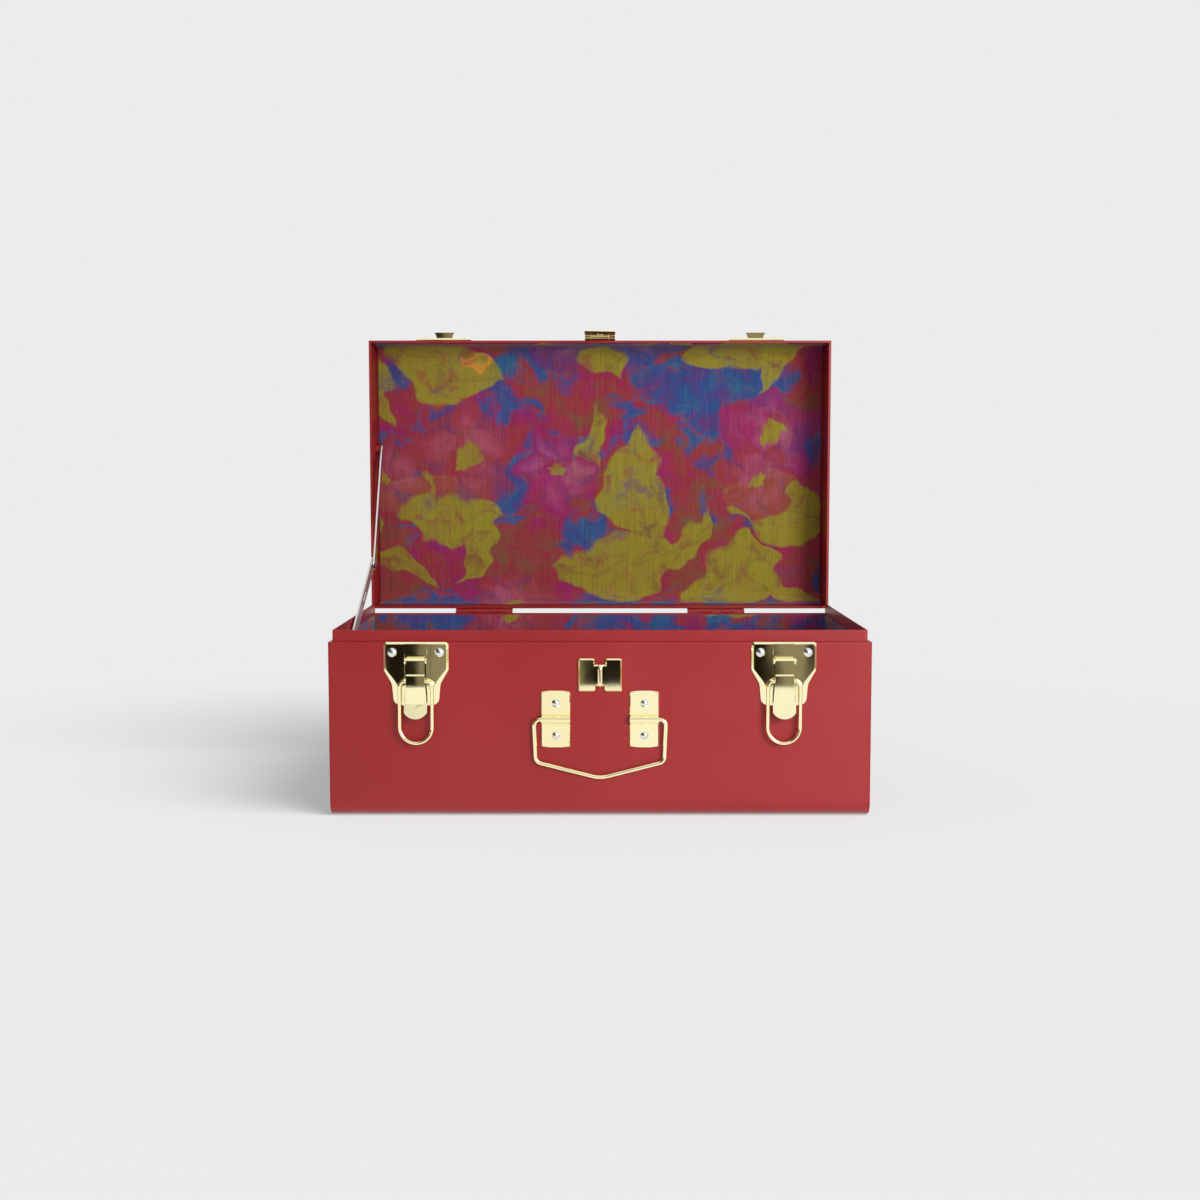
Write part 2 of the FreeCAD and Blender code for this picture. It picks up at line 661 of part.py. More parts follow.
def latch_plate(centre):
    """The pressed plate with a sloping skirt, a bridge, a channel, two guides and the lever's ears."""
    face = f"{FRONT} - latch_plate_gauge"
    foot = "base_height - latch_plate_height"
    shoulder, waist = "base_height - latch_shoulder", "base_height - latch_waist_drop"
    on_wall = [
        ("latch_plate_width/2", "base_height", "latch_top_radius"),
        ("latch_plate_width/2", shoulder, "latch_shoulder_bend"),
        ("latch_waist_width/2", waist, "latch_waist_bend"),
        ("latch_foot_width/2", foot, "latch_foot_radius"),
    ]
    inside = "(latch_plate_width/2 - plate_bevel)"
    at_face = [
        (inside, "base_height - plate_bevel", "latch_top_radius - plate_bevel/2"),
        (inside, f"{shoulder} + plate_bevel/2", "latch_shoulder_bend"),
        ("(latch_waist_width/2 - latch_skirt)", waist, "latch_waist_bend + latch_skirt"),
        ("(latch_foot_width/2 - latch_skirt)", f"{foot} + plate_bevel", "latch_foot_radius - plate_bevel"),
    ]
    rise = f"{face} + plate_bevel"
    blank = pressing(centre, ((FRONT, on_wall), (rise, on_wall), (face, at_face)))

    bridge_top = "base_height - bridge_drop"
    bridge_foot = f"{bridge_top} - bridge_height"
    bridge = box(
        (f"{centre} - bridge_width/2", f"{centre} + bridge_width/2"),
        (f"{face} - bridge_gauge", FRONT),
        (bridge_foot, bridge_top),
    )
    guide_reach = f"({BAIL_HALF} - bail_wire_radius - guide_gap)"
    guides = [
        box(
            (f"{centre} + {low}", f"{centre} + {high}"),
            (f"{face} - guide_gauge", FRONT),
            (f"{BAIL_Z} - curl_radius - guide_height", f"{BAIL_Z} - curl_radius"),
        )
        for low, high in ((f"-{guide_reach}", f"-{guide_reach} + guide_width"),
                          (f"{guide_reach} - guide_width", guide_reach))
    ]
    floor = f"{face} + channel_depth"
    channel = box(
        (f"{centre} - channel_width/2", f"{centre} + channel_width/2"),
        (f"{face} - channel_depth", floor),
        (f"{foot} - plate_bevel", bridge_foot),
    )
    pin_y = f"{FRONT} - lever_pin_standoff"
    ears = []
    for low, high in (("-", "-"), ("+", "+")):
        near, far = "(lever_width/2 + ear_gap)", "(lever_width/2 + ear_gap + ear_gauge)"
        span = (f"{centre} {low} {far}", f"{centre} {high} {near}")
        span = span if low == "-" else span[::-1]
        ears.append(box(span, (pin_y, floor), (f"{LEVER_PIN_Z} - ear_radius", f"{LEVER_PIN_Z} + ear_radius")))
        ears.append(rod("ear_radius", span, pin_y, LEVER_PIN_Z))
    reach = (f"{centre} - channel_width", f"{centre} + channel_width")
    bore = rod("lever_pin_radius + running_clearance", reach, pin_y, LEVER_PIN_Z)
    plate = cut(join(blank, bridge, *guides), channel)
    return cut(join(plate, *ears), bore)


def latch_lever(side, centre):
    """The toggle lever: knuckle, web, curl for the wire loop, tapered tongue and a tilted spade."""
    width = (f"{centre} - lever_width/2", f"{centre} + lever_width/2")
    pin_y = f"{FRONT} - lever_pin_standoff"
    web_y = f"{pin_y} - lever_knuckle_radius"
    bail_y = f"{FRONT} - bail_standoff"
    curl_y = f"{bail_y} - curl_radius"
    curl_top = f"{BAIL_Z} + curl_rise"
    spade_z = f"({LEVER_PIN_Z} - spade_drop)"
    knuckle = rod("lever_knuckle_radius", width, pin_y, LEVER_PIN_Z)
    web = box(width, (web_y, f"{web_y} + lever_gauge"), (BAIL_Z, LEVER_PIN_Z))
    curl = rod("curl_radius", width, bail_y, BAIL_Z)
    curl_face = box(width, (curl_y, bail_y), (f"{BAIL_Z} - curl_drop", f"{curl_top} - curl_round"))
    curl_head = box(width, (f"{curl_y} + curl_round", bail_y), (BAIL_Z, curl_top))
    brow = rod("curl_round", width, f"{curl_y} + curl_round", f"{curl_top} - curl_round")

    tongue = new_body(f"tongue_{side}")
    taper = [
        (f"{centre} - tongue_foot_width/2", spade_z),
        (f"{centre} + tongue_foot_width/2", spade_z),
        (f"{centre} + tongue_width/2", BAIL_Z),
        (f"{centre} - tongue_width/2", BAIL_Z),
    ]
    extrude(tongue, "XZ_Plane", f"{BACK} + tongue_standoff", taper, "lever_gauge")

    spade_y = f"{FRONT} - tongue_standoff - spade_rise"
    disc = doc.addObject("Part::Cylinder", "disc")
    disc.setExpression("Radius", formula("spade_radius"))
    disc.setExpression("Height", formula("spade_gauge"))
    disc.Placement = FreeCAD.Placement(FreeCAD.Vector(), FreeCAD.Rotation(X_AXIS, 90))
    disc.setExpression("Placement.Rotation.Angle", formula("90 - spade_tilt"))
    place(disc, centre, spade_y, spade_z)
    blank = box(
        (f"{centre} - spade_width/2", f"{centre} + spade_width/2"),
        (f"{spade_y} - spade_radius", f"{spade_y} + spade_radius"),
        (f"{spade_z} - spade_radius", f"{spade_z} + spade_root"),
    )
    spade = doc.addObject("Part::Common", "spade")
    spade.Base = disc
    spade.Tool = blank
    dimple = doc.addObject("Part::Sphere", "dimple")
    dimple.setExpression("Radius", formula("spade_dimple"))
    place(dimple, centre, f"{spade_y} - spade_gauge/cos(spade_tilt)", spade_z)
    pin_bore = rod("lever_pin_radius + running_clearance", width, pin_y, LEVER_PIN_Z)
    tongue_span = (f"{centre} - tongue_foot_width/2", f"{centre} + tongue_foot_width/2")
    bail_bore = rod("bail_wire_radius + running_clearance", tongue_span, bail_y, BAIL_Z)
    whole = join(knuckle, web, curl, curl_face, curl_head, brow, tongue, spade)
    return cut(whole, pin_bore, bail_bore, dimple)


def latch_bail(side, centre):
    """The closed wire loop that hangs from the lever's curl."""
    y = f"{FRONT} - bail_standoff"
    left, right = f"{centre} - {BAIL_HALF}", f"{centre} + {BAIL_HALF}"
    end = f"{BAIL_Z} - bail_reach"
    outline = [(centre, BAIL_Z), (right, BAIL_Z), (right, end), (left, end), (left, BAIL_Z), (centre, BAIL_Z)]
    corners = [vector(x, y, z) for x, z in outline]
    top, bottom = number("bail_corner"), number(BAIL_HALF)
    bent_wire(f"latch_bail_{side}", corners, (top, bottom, bottom, top), "bail_wire_radius")


def catch_plate(side, centre):
    """The lid's plate with the upturned hook that the wire loop drops behind."""
    foot, top = f"{RIM} + catch_plate_gap", f"{RIM} + catch_plate_gap + catch_plate_height"
    left, right = f"{centre} - latch_plate_width/2", f"{centre} + latch_plate_width/2"
    face = f"{FRONT} - catch_plate_gauge"
    plate = new_body(f"catch_plate_{side}")
    corners = [(left, foot), (right, foot), (right, top), (left, top)]
    extrude(plate, "XZ_Plane", BACK, corners, "catch_plate_gauge")
    middle = f"{FRONT} - catch_plate_gauge/2"
    ease(plate, "Fillet", "catch_corner", edges_near((left, middle, top), (right, middle, top)))
    ease(plate, "Chamfer", "plate_bevel", edges_at_depth(face))

    loop_inside = f"({BAIL_HALF} - bail_wire_radius)"
    sag = f"({loop_inside} - sqrt({loop_inside}^2 - (catch_lip_width/2)^2))"
    floor = f"({BAIL_Z} + bail_reach - bail_wire_radius - {sag} - catch_play)"
    lip_in = f"{face} - catch_throat"
    lip_out = f"{lip_in} - catch_gauge"
    ledge = [
        (f"{centre} - catch_root_width/2", f"{FRONT} - catch_plate_gauge/2"),
        (f"{centre} + catch_root_width/2", f"{FRONT} - catch_plate_gauge/2"),
        (f"{centre} + catch_lip_width/2", lip_out),
        (f"{centre} - catch_lip_width/2", lip_out),
    ]
    extrude(plate, "XY_Plane", f"{floor} - catch_gauge", ledge, "catch_gauge")
    lip = [
        (f"{centre} - catch_lip_width/2", lip_in),
        (f"{centre} + catch_lip_width/2", lip_in),
        (f"{centre} + catch_lip_width/2", lip_out),
        (f"{centre} - catch_lip_width/2", lip_out),
    ]
    extrude(plate, "XY_Plane", f"{floor} - catch_gauge", lip, "catch_gauge + catch_lip_height")
    node(f"catch_plate_{side}", on_lid(plate))


def build_latches():
    """Two toggle latches on the front of the base and their catches on the lid."""
    pins = []
    base_heads = []
    lid_heads = []
    for side, sign in SIDES.items():
        centre = f"({sign}*({SIDE} - latch_inset))"
        node(f"latch_plate_{side}", latch_plate(centre))
        node(f"latch_lever_{side}", latch_lever(side, centre))
        latch_bail(side, centre)
        catch_plate(side, centre)
        ear = "(lever_width/2 + ear_gap + ear_gauge)"
        ends = (f"{centre} - {ear}", f"{centre} + {ear}")
        pins.append(rod("lever_pin_radius", ends, f"{FRONT} - lever_pin_standoff", LEVER_PIN_Z))
        for way in SIDES.values():
            across = f"{centre} + {way}*rivet_spacing/2"
            low = (across, f"{FRONT} - latch_plate_gauge", "base_height - latch_rivet_drop")
            high = (across, f"{FRONT} - catch_plate_gauge", f"{RIM} + catch_rivet_rise")
            base_heads.append(dome("rivet_radius", "rivet_height", *low, "front"))
            lid_heads.append(dome("rivet_radius", "rivet_height", *high, "front"))
    group("latch_pins", pins)
    group("latch_rivets", base_heads)
    on_lid(group("catch_rivets", lid_heads))


def handle_bracket(side, centre):
    """A crowned plate with a saddle that holds the handle's end against the wall."""
    half, crown = "bracket_width/2", "bracket_crown_width/2"
    reach, shoulder = "bracket_height/2", "(bracket_height/2 - bracket_crown)"
    ring = [(half, shoulder), (crown, reach)]
    quarter = [(1, 1, ring), (-1, 1, ring[::-1]), (-1, -1, ring), (1, -1, ring[::-1])]
    corners = []
    for across, up, run in quarter:
        corners += [(f"{centre} + {across}*{x}", f"handle_pivot_height + {up}*{z}") for x, z in run]
    blank = new_body(f"handle_blank_{side}")
    extrude(blank, "XZ_Plane", BACK, corners, "bracket_gauge")
    middle = f"{FRONT} - bracket_gauge/2"
    square = corners[::4] + corners[3::4]
    crowned = corners[1::4] + corners[2::4]
    for spots, bend in ((square, "bracket_corner"), (crowned, "bracket_crown_bend")):
        ease(blank, "Fillet", bend, edges_near(*((x, middle, z) for x, z in spots)))
    face = f"{FRONT} - bracket_gauge"
    ease(blank, "Chamfer", "bracket_bevel", edges_at_depth(face))

    span = (f"{centre} - {half}", f"{centre} + {half}")
    wire_y, wire_z = f"{FRONT} - handle_standoff", "handle_pivot_height"
    crest = f"{wire_y} - saddle_cover"
    low, high = f"{wire_z} - saddle_crest/2", f"{wire_z} + saddle_crest/2"
    feet = (f"{wire_z} - saddle_foot/2", f"{wire_z} + saddle_foot/2")
    saddle = [(middle, feet[0]), (crest, low), (crest, high), (middle, feet[1])]
    extrude(blank, "YZ_Plane", span[0], saddle, "bracket_width")
    ease(blank, "Fillet", "saddle_round", edges_near((centre, crest, low), (centre, crest, high)))
    room = "(handle_wire_radius + running_clearance)"
    bore = rod(room, span, wire_y, wire_z)
    mouth = box(span, (wire_y, FRONT), (f"{wire_z} - {room}", f"{wire_z} + {room}"))
    return cut(blank, bore, mouth)


def build_handle():
    """Wire handle whose ends turn in two riveted saddles."""
    heads = []
    for side, sign in SIDES.items():
        centre = f"({sign}*handle_spacing/2)"
        node(f"handle_bracket_{side}", handle_bracket(side, centre))
        for way in SIDES.values():
            spot = (centre, f"{FRONT} - bracket_gauge", f"handle_pivot_height + {way}*handle_rivet_spacing/2")
            heads.append(dome("handle_rivet_radius", "handle_rivet_height", *spot, "front"))
    group("handle_rivets", heads)

    y, pivot = f"{FRONT} - handle_standoff", "handle_pivot_height"
    half = "(handle_width/2 - handle_wire_radius)"
    run = [
        ("(handle_spacing/2 - bracket_width/2 + handle_end_cover)", pivot),
        (half, pivot),
        (f"({half} - handle_toe_in)", f"{pivot} - handle_shoulder_drop"),
    ]
    outline = [(f"-{x}", z) for x, z in run] + [("0", f"{pivot} - handle_drop")] + run[::-1]
    corners = [vector(x, y, z) for x, z in outline]
    elbow, bend, belly = number("handle_elbow"), number("handle_bend"), number("handle_belly_bend")
    bent_wire("carry_handle", corners, (elbow, bend, belly, bend, elbow), "handle_wire_radius")


def build_staple():
    """Padlock staple: two bevelled wings and a rib with an eye."""
    half, upper, lower = "staple_width/2", "notch_top_width/2", "notch_bottom_width/2"
    top, foot = "(base_height - staple_drop)", "(base_height - staple_drop - staple_height)"
    right = [
        (lower, f"{foot} + notch_bottom"),
        (lower, foot),
        (half, foot),
        (half, top),
        (upper, top),
        (upper, f"{top} - notch_top"),
    ]
    corners = right + [(f"-{x}", z) for x, z in reversed(right)]
    staple = new_body("staple_blank")
    extrude(staple, "XZ_Plane", BACK, corners, "staple_gauge")
    middle = f"{FRONT} - staple_gauge/2"
    tips = [(x, middle, z) for x, z in corners if z in (top, foot)]
    ease(staple, "Fillet", "staple_corner", edges_near(*tips))
    ease(staple, "Chamfer", "staple_bevel", edges_at_depth(f"{FRONT} - staple_gauge"))
    nose = f"{FRONT} - rib_reach"
    rib = [
        (f"{FRONT} - staple_gauge/2", RIB_FOOT),
        (nose, RIB_FOOT),
        (nose, RIB_TOP),
        (f"{FRONT} - staple_gauge/2", RIB_TOP),
    ]
    extrude(staple, "YZ_Plane", "-rib_width/2", rib, "rib_width")
    ease(staple, "Fillet", "rib_nose", edges_near(("0", nose, RIB_FOOT), ("0", nose, RIB_TOP)))
    level = f"({RIB_FOOT} + {RIB_TOP})/2"
    spots = [(f"{sign}*rib_width/2", nose, level) for sign in SIDES.values()]
    ease(staple, "Fillet", "rib_edge", edges_near(*spots))
    eye = rod("eye_radius", ("-rib_width", "rib_width"), f"{FRONT} - eye_reach", level)
    node("padlock_staple", cut(staple, eye))


def build_hasp():
    """Leaf riveted to the lid, pin, and the slotted strap that swings over the staple."""
    half, knuckle = "hasp_width/2", "hasp_knuckle_width/2"
    relief = "(hasp_barrel_radius + knuckle_gap)"
    across = (f"-{half}", half)
    middle = (f"-{knuckle}", knuckle)
    shoulders = ((f"-{half}", f"-{knuckle} - knuckle_gap"), (f"{knuckle} + knuckle_gap", half))
    bore = "hasp_pin_radius + running_clearance"

    leaf_y = (f"{FRONT} - hasp_leaf_gauge", FRONT)
    plate = box(across, leaf_y, (HASP_Z, f"{HASP_Z} + hasp_leaf_height"))
    notch_z = (f"{HASP_Z} - {relief}", f"{HASP_Z} + {relief}")
    notches = [
        box(notch_x, (f"{FRONT} - 2*hasp_leaf_gauge", BACK), notch_z)
        for notch_x in ((f"-{half}", f"-{knuckle}"), (knuckle, half))
    ]
    barrel = rod("hasp_barrel_radius", middle, HASP_Y, HASP_Z)
    leaf = cut(join(cut(plate, *notches), barrel), rod(bore, across, HASP_Y, HASP_Z))
    node("hasp_leaf", on_lid(leaf))
    on_lid(group("hasp_pin", [rod("hasp_pin_radius", across, HASP_Y, HASP_Z)]))
    heads = [
        dome(
            "hasp_rivet_radius",
            "hasp_rivet_height",
            f"{sign}*hasp_rivet_spacing/2",
            f"{FRONT} - hasp_leaf_gauge",
            f"{HASP_Z} + hasp_rivet_rise",
            "front",
        )
        for sign in SIDES.values()
    ]
    on_lid(group("hasp_rivets", heads))

    strap_y = (f"{FRONT} - strap_standoff - strap_gauge", f"{FRONT} - strap_standoff")
    through = (f"{FRONT} - strap_standoff - 2*strap_gauge", FRONT)
    slot_foot = f"{RIB_FOOT} - slot_end_clearance"
    strap = box(across, strap_y, (f"{slot_foot} - strap_toe", HASP_Z))
    barrels = [rod("hasp_barrel_radius", span, HASP_Y, HASP_Z) for span in shoulders]
    gap = box(
        (f"-{knuckle} - knuckle_gap", f"{knuckle} + knuckle_gap"),
        through,
        (f"{HASP_Z} - {relief}", f"{HASP_Z} + {relief}"),
    )
    slot_half = "(rib_width/2 + slot_side_clearance)"
    slot = box((f"-{slot_half}", slot_half), through, (slot_foot, f"{RIB_TOP} + slot_end_clearance"))
    node("hasp_strap", on_lid(cut(join(cut(strap, gap, slot), *barrels), rod(bore, across, HASP_Y, HASP_Z))))


def stay_arm(label, x, start, end, openings):
    """A flat arm with round ends, drawn along Y from its first pivot and turned towards its second."""
    rise, run = f"({end[1]} - {start[1]})", f"({end[0]} - {start[0]})"
    length = f"sqrt({run}^2 + {rise}^2)"
    span = (x, f"{x} + stay_arm_gauge")
    half = "stay_arm_width/2"
    bar = box(span, ("0", length), (f"-{half}", half))
    blank = join(bar, rod(half, span, "0", "0"), rod(half, span, length, "0"))
    arm = cut(blank, *openings(span, length))
    angle = f"atan2({rise}; {run})"
    arm.Placement = FreeCAD.Placement(FreeCAD.Vector(), FreeCAD.Rotation(X_AXIS, number(angle)))
    arm.setExpression("Placement.Rotation.Angle", formula(angle))
    place(arm, "0", *start)
    node(label, arm)


def build_stay():
    """Two-armed folding stay at the left end: base bracket, lower arm, upper arm, lid bracket."""
    eye = "stay_pin_radius + running_clearance"
    base_pivot = (STAY_BASE_Y, STAY_BASE_Z)
    elbow = (STAY_ELBOW_Y, STAY_ELBOW_Z)
    lid_pivot = (STAY_LID_Y, STAY_LID_Z)

    def eye_and_slot(span, length):
        slot_from = f"{length}*stay_slot_share"
        slot_to = f"{slot_from} + stay_slot_length"
        slot = box(span, (slot_from, slot_to), ("-stay_slot_width/2", "stay_slot_width/2"))
        ends = [rod("stay_slot_width/2", span, y, "0") for y in (slot_from, slot_to)]
        return [rod(eye, span, "0", "0"), slot, *ends]

    def eye_at_each_end(span, length):
        return [rod(eye, span, y, "0") for y in ("0", length)]

    stay_arm("stay_lower_arm", LOWER_ARM_X, base_pivot, elbow, eye_and_slot)
    stay_arm("stay_upper_arm", UPPER_ARM_X, elbow, lid_pivot, eye_at_each_end)
    lower_face = f"{LOWER_ARM_X} + stay_arm_gauge"
    upper_face = f"{UPPER_ARM_X} + stay_arm_gauge"

    bracket_half = "stay_bracket_width/2"
    bracket_top = f"{STAY_BASE_Z} + stay_base_bracket_top"
    plate_x = (INNER_WALL, f"{INNER_WALL} + stay_bracket_gauge")
    bracket = box(
        plate_x,
        (f"{STAY_BASE_Y} - {bracket_half}", f"{STAY_BASE_Y} + {bracket_half}"),
        (f"{bracket_top} - stay_bracket_height", bracket_top),
    )
    node("stay_base_bracket", bracket)

    lid_wall = f"(sheet_gauge - {SIDE})"
    lid_plate_x = (lid_wall, f"{lid_wall} + stay_bracket_gauge")
    lid_plate = box(
        lid_plate_x,
        (f"{STAY_LID_Y} - {bracket_half}", f"{STAY_LID_Y} + {bracket_half}"),
        (f"{STAY_LID_Z} - stay_bracket_height/2", f"{STAY_LID_Z} + stay_bracket_height/2"),
    )
    boss_end = f"{UPPER_ARM_X} - stay_head_gap"
    boss = rod("stay_boss_radius", (lid_wall, boss_end), STAY_LID_Y, STAY_LID_Z)
    node("stay_lid_bracket", join(lid_plate, boss))

    for label, start, arm_face, pivot in (
        ("stay_base_pivot", plate_x[1], lower_face, base_pivot),
        ("stay_lid_pivot", boss_end, upper_face, lid_pivot),
        ("stay_joint_rivet", UPPER_ARM_X, upper_face, elbow),
    ):
        seat = f"({arm_face} + stay_head_gap)"
        shank = rod("stay_pin_radius", (start, seat), *pivot)
        head = dome("stay_head_radius", "stay_head_height", seat, *pivot, "right")
        node(label, join(shank, head))


def write_parts():
    """Check every object and write one STEP file for each sub-part."""
    doc.recompute()
    for item in doc.Objects:
        if {"Invalid", "Error"} & set(item.State):
            raise RuntimeError(f"{item.Label} failed: {item.State}")
    for label, solid in nodes.items():
        if solid.Shape.isNull() or not solid.Shape.isValid() or not solid.Shape.Solids:
            raise RuntimeError(f"{label} has no valid solid")
    os.makedirs("parts", exist_ok=True)
    for label, solid in nodes.items():
        solid.Shape.exportStep(os.path.join("parts", f"{label}.step"))
        print(f"{label}: {len(solid.Shape.Solids)} solid(s), {solid.Shape.Volume:.1f} mm3")


build_base_shell()
build_base_lining()
build_lid_shell()
build_hinges()
build_latches()
build_handle()
build_staple()
build_hasp()
build_stay()
write_parts()
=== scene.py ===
"""Dresses the storage trunk: painted shell, brass fittings, steel stay and printed cloth lining."""

import logging
import math
from dataclasses import dataclass
from enum import Enum
from typing import Union

import bmesh
import bpy
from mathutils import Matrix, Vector


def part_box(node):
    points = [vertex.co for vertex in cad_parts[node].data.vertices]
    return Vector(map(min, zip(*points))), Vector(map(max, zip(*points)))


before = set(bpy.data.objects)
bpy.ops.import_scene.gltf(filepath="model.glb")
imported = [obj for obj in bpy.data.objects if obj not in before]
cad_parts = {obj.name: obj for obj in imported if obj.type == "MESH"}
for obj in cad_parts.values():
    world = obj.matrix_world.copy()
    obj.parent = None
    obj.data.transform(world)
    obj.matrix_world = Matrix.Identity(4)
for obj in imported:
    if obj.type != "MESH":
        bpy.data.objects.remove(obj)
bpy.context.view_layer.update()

LOG = logging.getLogger("storage_trunk")
WELD_DISTANCE = 2e-6
SHARP_ANGLE = 19.0
BROKEN_ANGLE = 40.0
BROKEN_SEGMENTS = 3
FLAT_WEIGHT = 100
TONE_SPAN = (0.3, 0.7)

Socket = bpy.types.NodeSocket
Operand = Union[Socket, float]
Colour = tuple[float, float, float]
Tint = Union[Socket, Colour]


class Board(Enum):
    """The ways that the printed cloth is laid over a lining board."""

    LID = "lid"
    BASE_WRAP = "base_wrap"
    BASE_END = "base_end"


class Tree:
    """Lays and joins nodes in a node tree."""

    def __init__(self, tree: bpy.types.NodeTree) -> None:
        """Keep the tree that the nodes go into."""
        self.tree = tree

    def add(self, kind: str, **settings: object) -> bpy.types.Node:
        """Add a node.

        Args:
            kind: The node's type.
            settings: Attributes to set on it.

        Returns:
            The new node.
        """
        node = self.tree.nodes.new(kind)
        for name, value in settings.items():
            setattr(node, name, value)
        return node

    def feed(self, target: Socket, source: Union[Operand, tuple]) -> None:
        """Link a socket to an input, or set the input's own value."""
        if isinstance(source, Socket):
            self.tree.links.new(source, target)
        else:
            target.default_value = source

    def math(self, operation: str, *values: Operand, clamp: bool = False) -> Socket:
        """Add a Math node.

        Args:
            operation: The node's operation.
            values: Its inputs, each a socket or a number.
            clamp: Whether to keep the result between 0 and 1.

        Returns:
            The result's socket.
        """
        node = self.add("ShaderNodeMath", operation=operation, use_clamp=clamp)
        for socket, value in zip(node.inputs, values):
            self.feed(socket, value)
        return node.outputs[0]

    def vector(self, operation: str, *values: Union[Operand, tuple]) -> Socket:
        """Add a Vector Math node and give its result, a value for a length or a dot product.

        Args:
            operation: The node's operation.
            values: Its inputs, each a socket or a tuple.

        Returns:
            The result's socket.
        """
        node = self.add("ShaderNodeVectorMath", operation=operation)
        for socket, value in zip(node.inputs, values):
            self.feed(socket, value)
        return node.outputs["Value" if operation in ("LENGTH", "DOT_PRODUCT") else "Vector"]

    def scaled(self, vector: Socket, scale: float) -> Socket:
        """Scale a vector by a number."""
        node = self.add("ShaderNodeVectorMath", operation="SCALE")
        self.feed(node.inputs[0], vector)
        node.inputs["Scale"].default_value = scale
        return node.outputs[0]

    def step(self, value: Operand, low: Operand, high: Operand) -> Socket:
        """Fade smoothly from 0 at low to 1 at high.

        Args:
            value: What is measured.
            low: Where the fade starts.
            high: Where it ends.

        Returns:
            The fade's socket.
        """
        node = self.add("ShaderNodeMapRange", interpolation_type="SMOOTHSTEP")
        for name, source in (("Value", value), ("From Min", low), ("From Max", high)):
            self.feed(node.inputs[name], source)
        return node.outputs["Result"]

    def spread(self, value: Operand, low: Operand, high: Operand) -> Socket:
        """Map 0 to 1 onto low to high in a straight line."""
        node = self.add("ShaderNodeMapRange")
        for name, source in (("Value", value), ("To Min", low), ("To Max", high)):
            self.feed(node.inputs[name], source)
        return node.outputs["Result"]

    def mix(self, share: Operand, first: Tint, second: Tint, blend: str = "MIX") -> Socket:
        """Mix two colours.

        Args:
            share: How much of the second colour there is.
            first: The first colour, a socket or a tuple.
            second: The second colour, a socket or a tuple.
            blend: The way of mixing.

        Returns:
            The mixed colour's socket.
        """
        node = self.add("ShaderNodeMix", data_type="RGBA", blend_type=blend)
        self.feed(node.inputs[0], share)
        for socket, colour in ((node.inputs[6], first), (node.inputs[7], second)):
            linked = isinstance(colour, Socket)
            self.feed(socket, colour if linked else (*colour, 1.0))
        return node.outputs[2]

    def ramp(
        self, value: Socket, stops: list[tuple[float, Colour]], interpolation: str = "LINEAR"
    ) -> Socket:
        """Colour a value by a ramp.

        Args:
            value: The value, from 0 to 1.
            stops: Places along the ramp and their colours.
            interpolation: How the ramp goes between its stops.

        Returns:
            The colour's socket.
        """
        node = self.add("ShaderNodeValToRGB")
        band = node.color_ramp
        band.interpolation = interpolation
        while len(band.elements) < len(stops):
            band.elements.new(0.5)
        for element, (place, colour) in zip(band.elements, stops):
            element.position = place
            element.color = (*colour, 1.0)
        self.feed(node.inputs[0], value)
        return node.outputs["Color"]

    def noise(
        self, place: Socket, scale: Operand, detail: float = 3.0, roughness: float = 0.5
    ) -> Socket:
        """Add a noise and give its value.

        Args:
            place: Where it is read.
            scale: Its cells per metre.
            detail: How many octaves it has.
            roughness: How strong the finer ones are.

        Returns:
            The noise's value, about 0 to 1.
        """
        node = self.add("ShaderNodeTexNoise")
        settings = {"Vector": place, "Scale": scale, "Detail": detail, "Roughness": roughness}
        for name, source in settings.items():
            self.feed(node.inputs[name], source)
        return node.outputs[0]

    def parts(self, vector: Socket) -> tuple[Socket, Socket, Socket]:
        """Split a vector into its three values."""
        node = self.add("ShaderNodeSeparateXYZ")
        self.feed(node.inputs[0], vector)
        return node.outputs[0], node.outputs[1], node.outputs[2]

    def combine(self, x: Operand, y: Operand, z: Operand = 0.0) -> Socket:
        """Join three values into a vector."""
        node = self.add("ShaderNodeCombineXYZ")
        for socket, value in zip(node.inputs, (x, y, z)):
            self.feed(socket, value)
        return node.outputs[0]

    def either(self, share: Operand, first: Socket, second: Socket) -> Socket:
        """Mix two shaders.

        Args:
            share: How much of the second shader there is.
            first: The first shader.
            second: The second shader.

        Returns:
            The mixed shader's socket.
        """
        node = self.add("ShaderNodeMixShader")
        for socket, source in zip(node.inputs, (share, first, second)):
            self.feed(socket, source)
        return node.outputs[0]

    def show(self, shader: Socket, kind: str = "ShaderNodeOutputMaterial") -> None:
        """Lead a shader to the tree's output."""
        self.feed(self.add(kind).inputs["Surface"], shader)


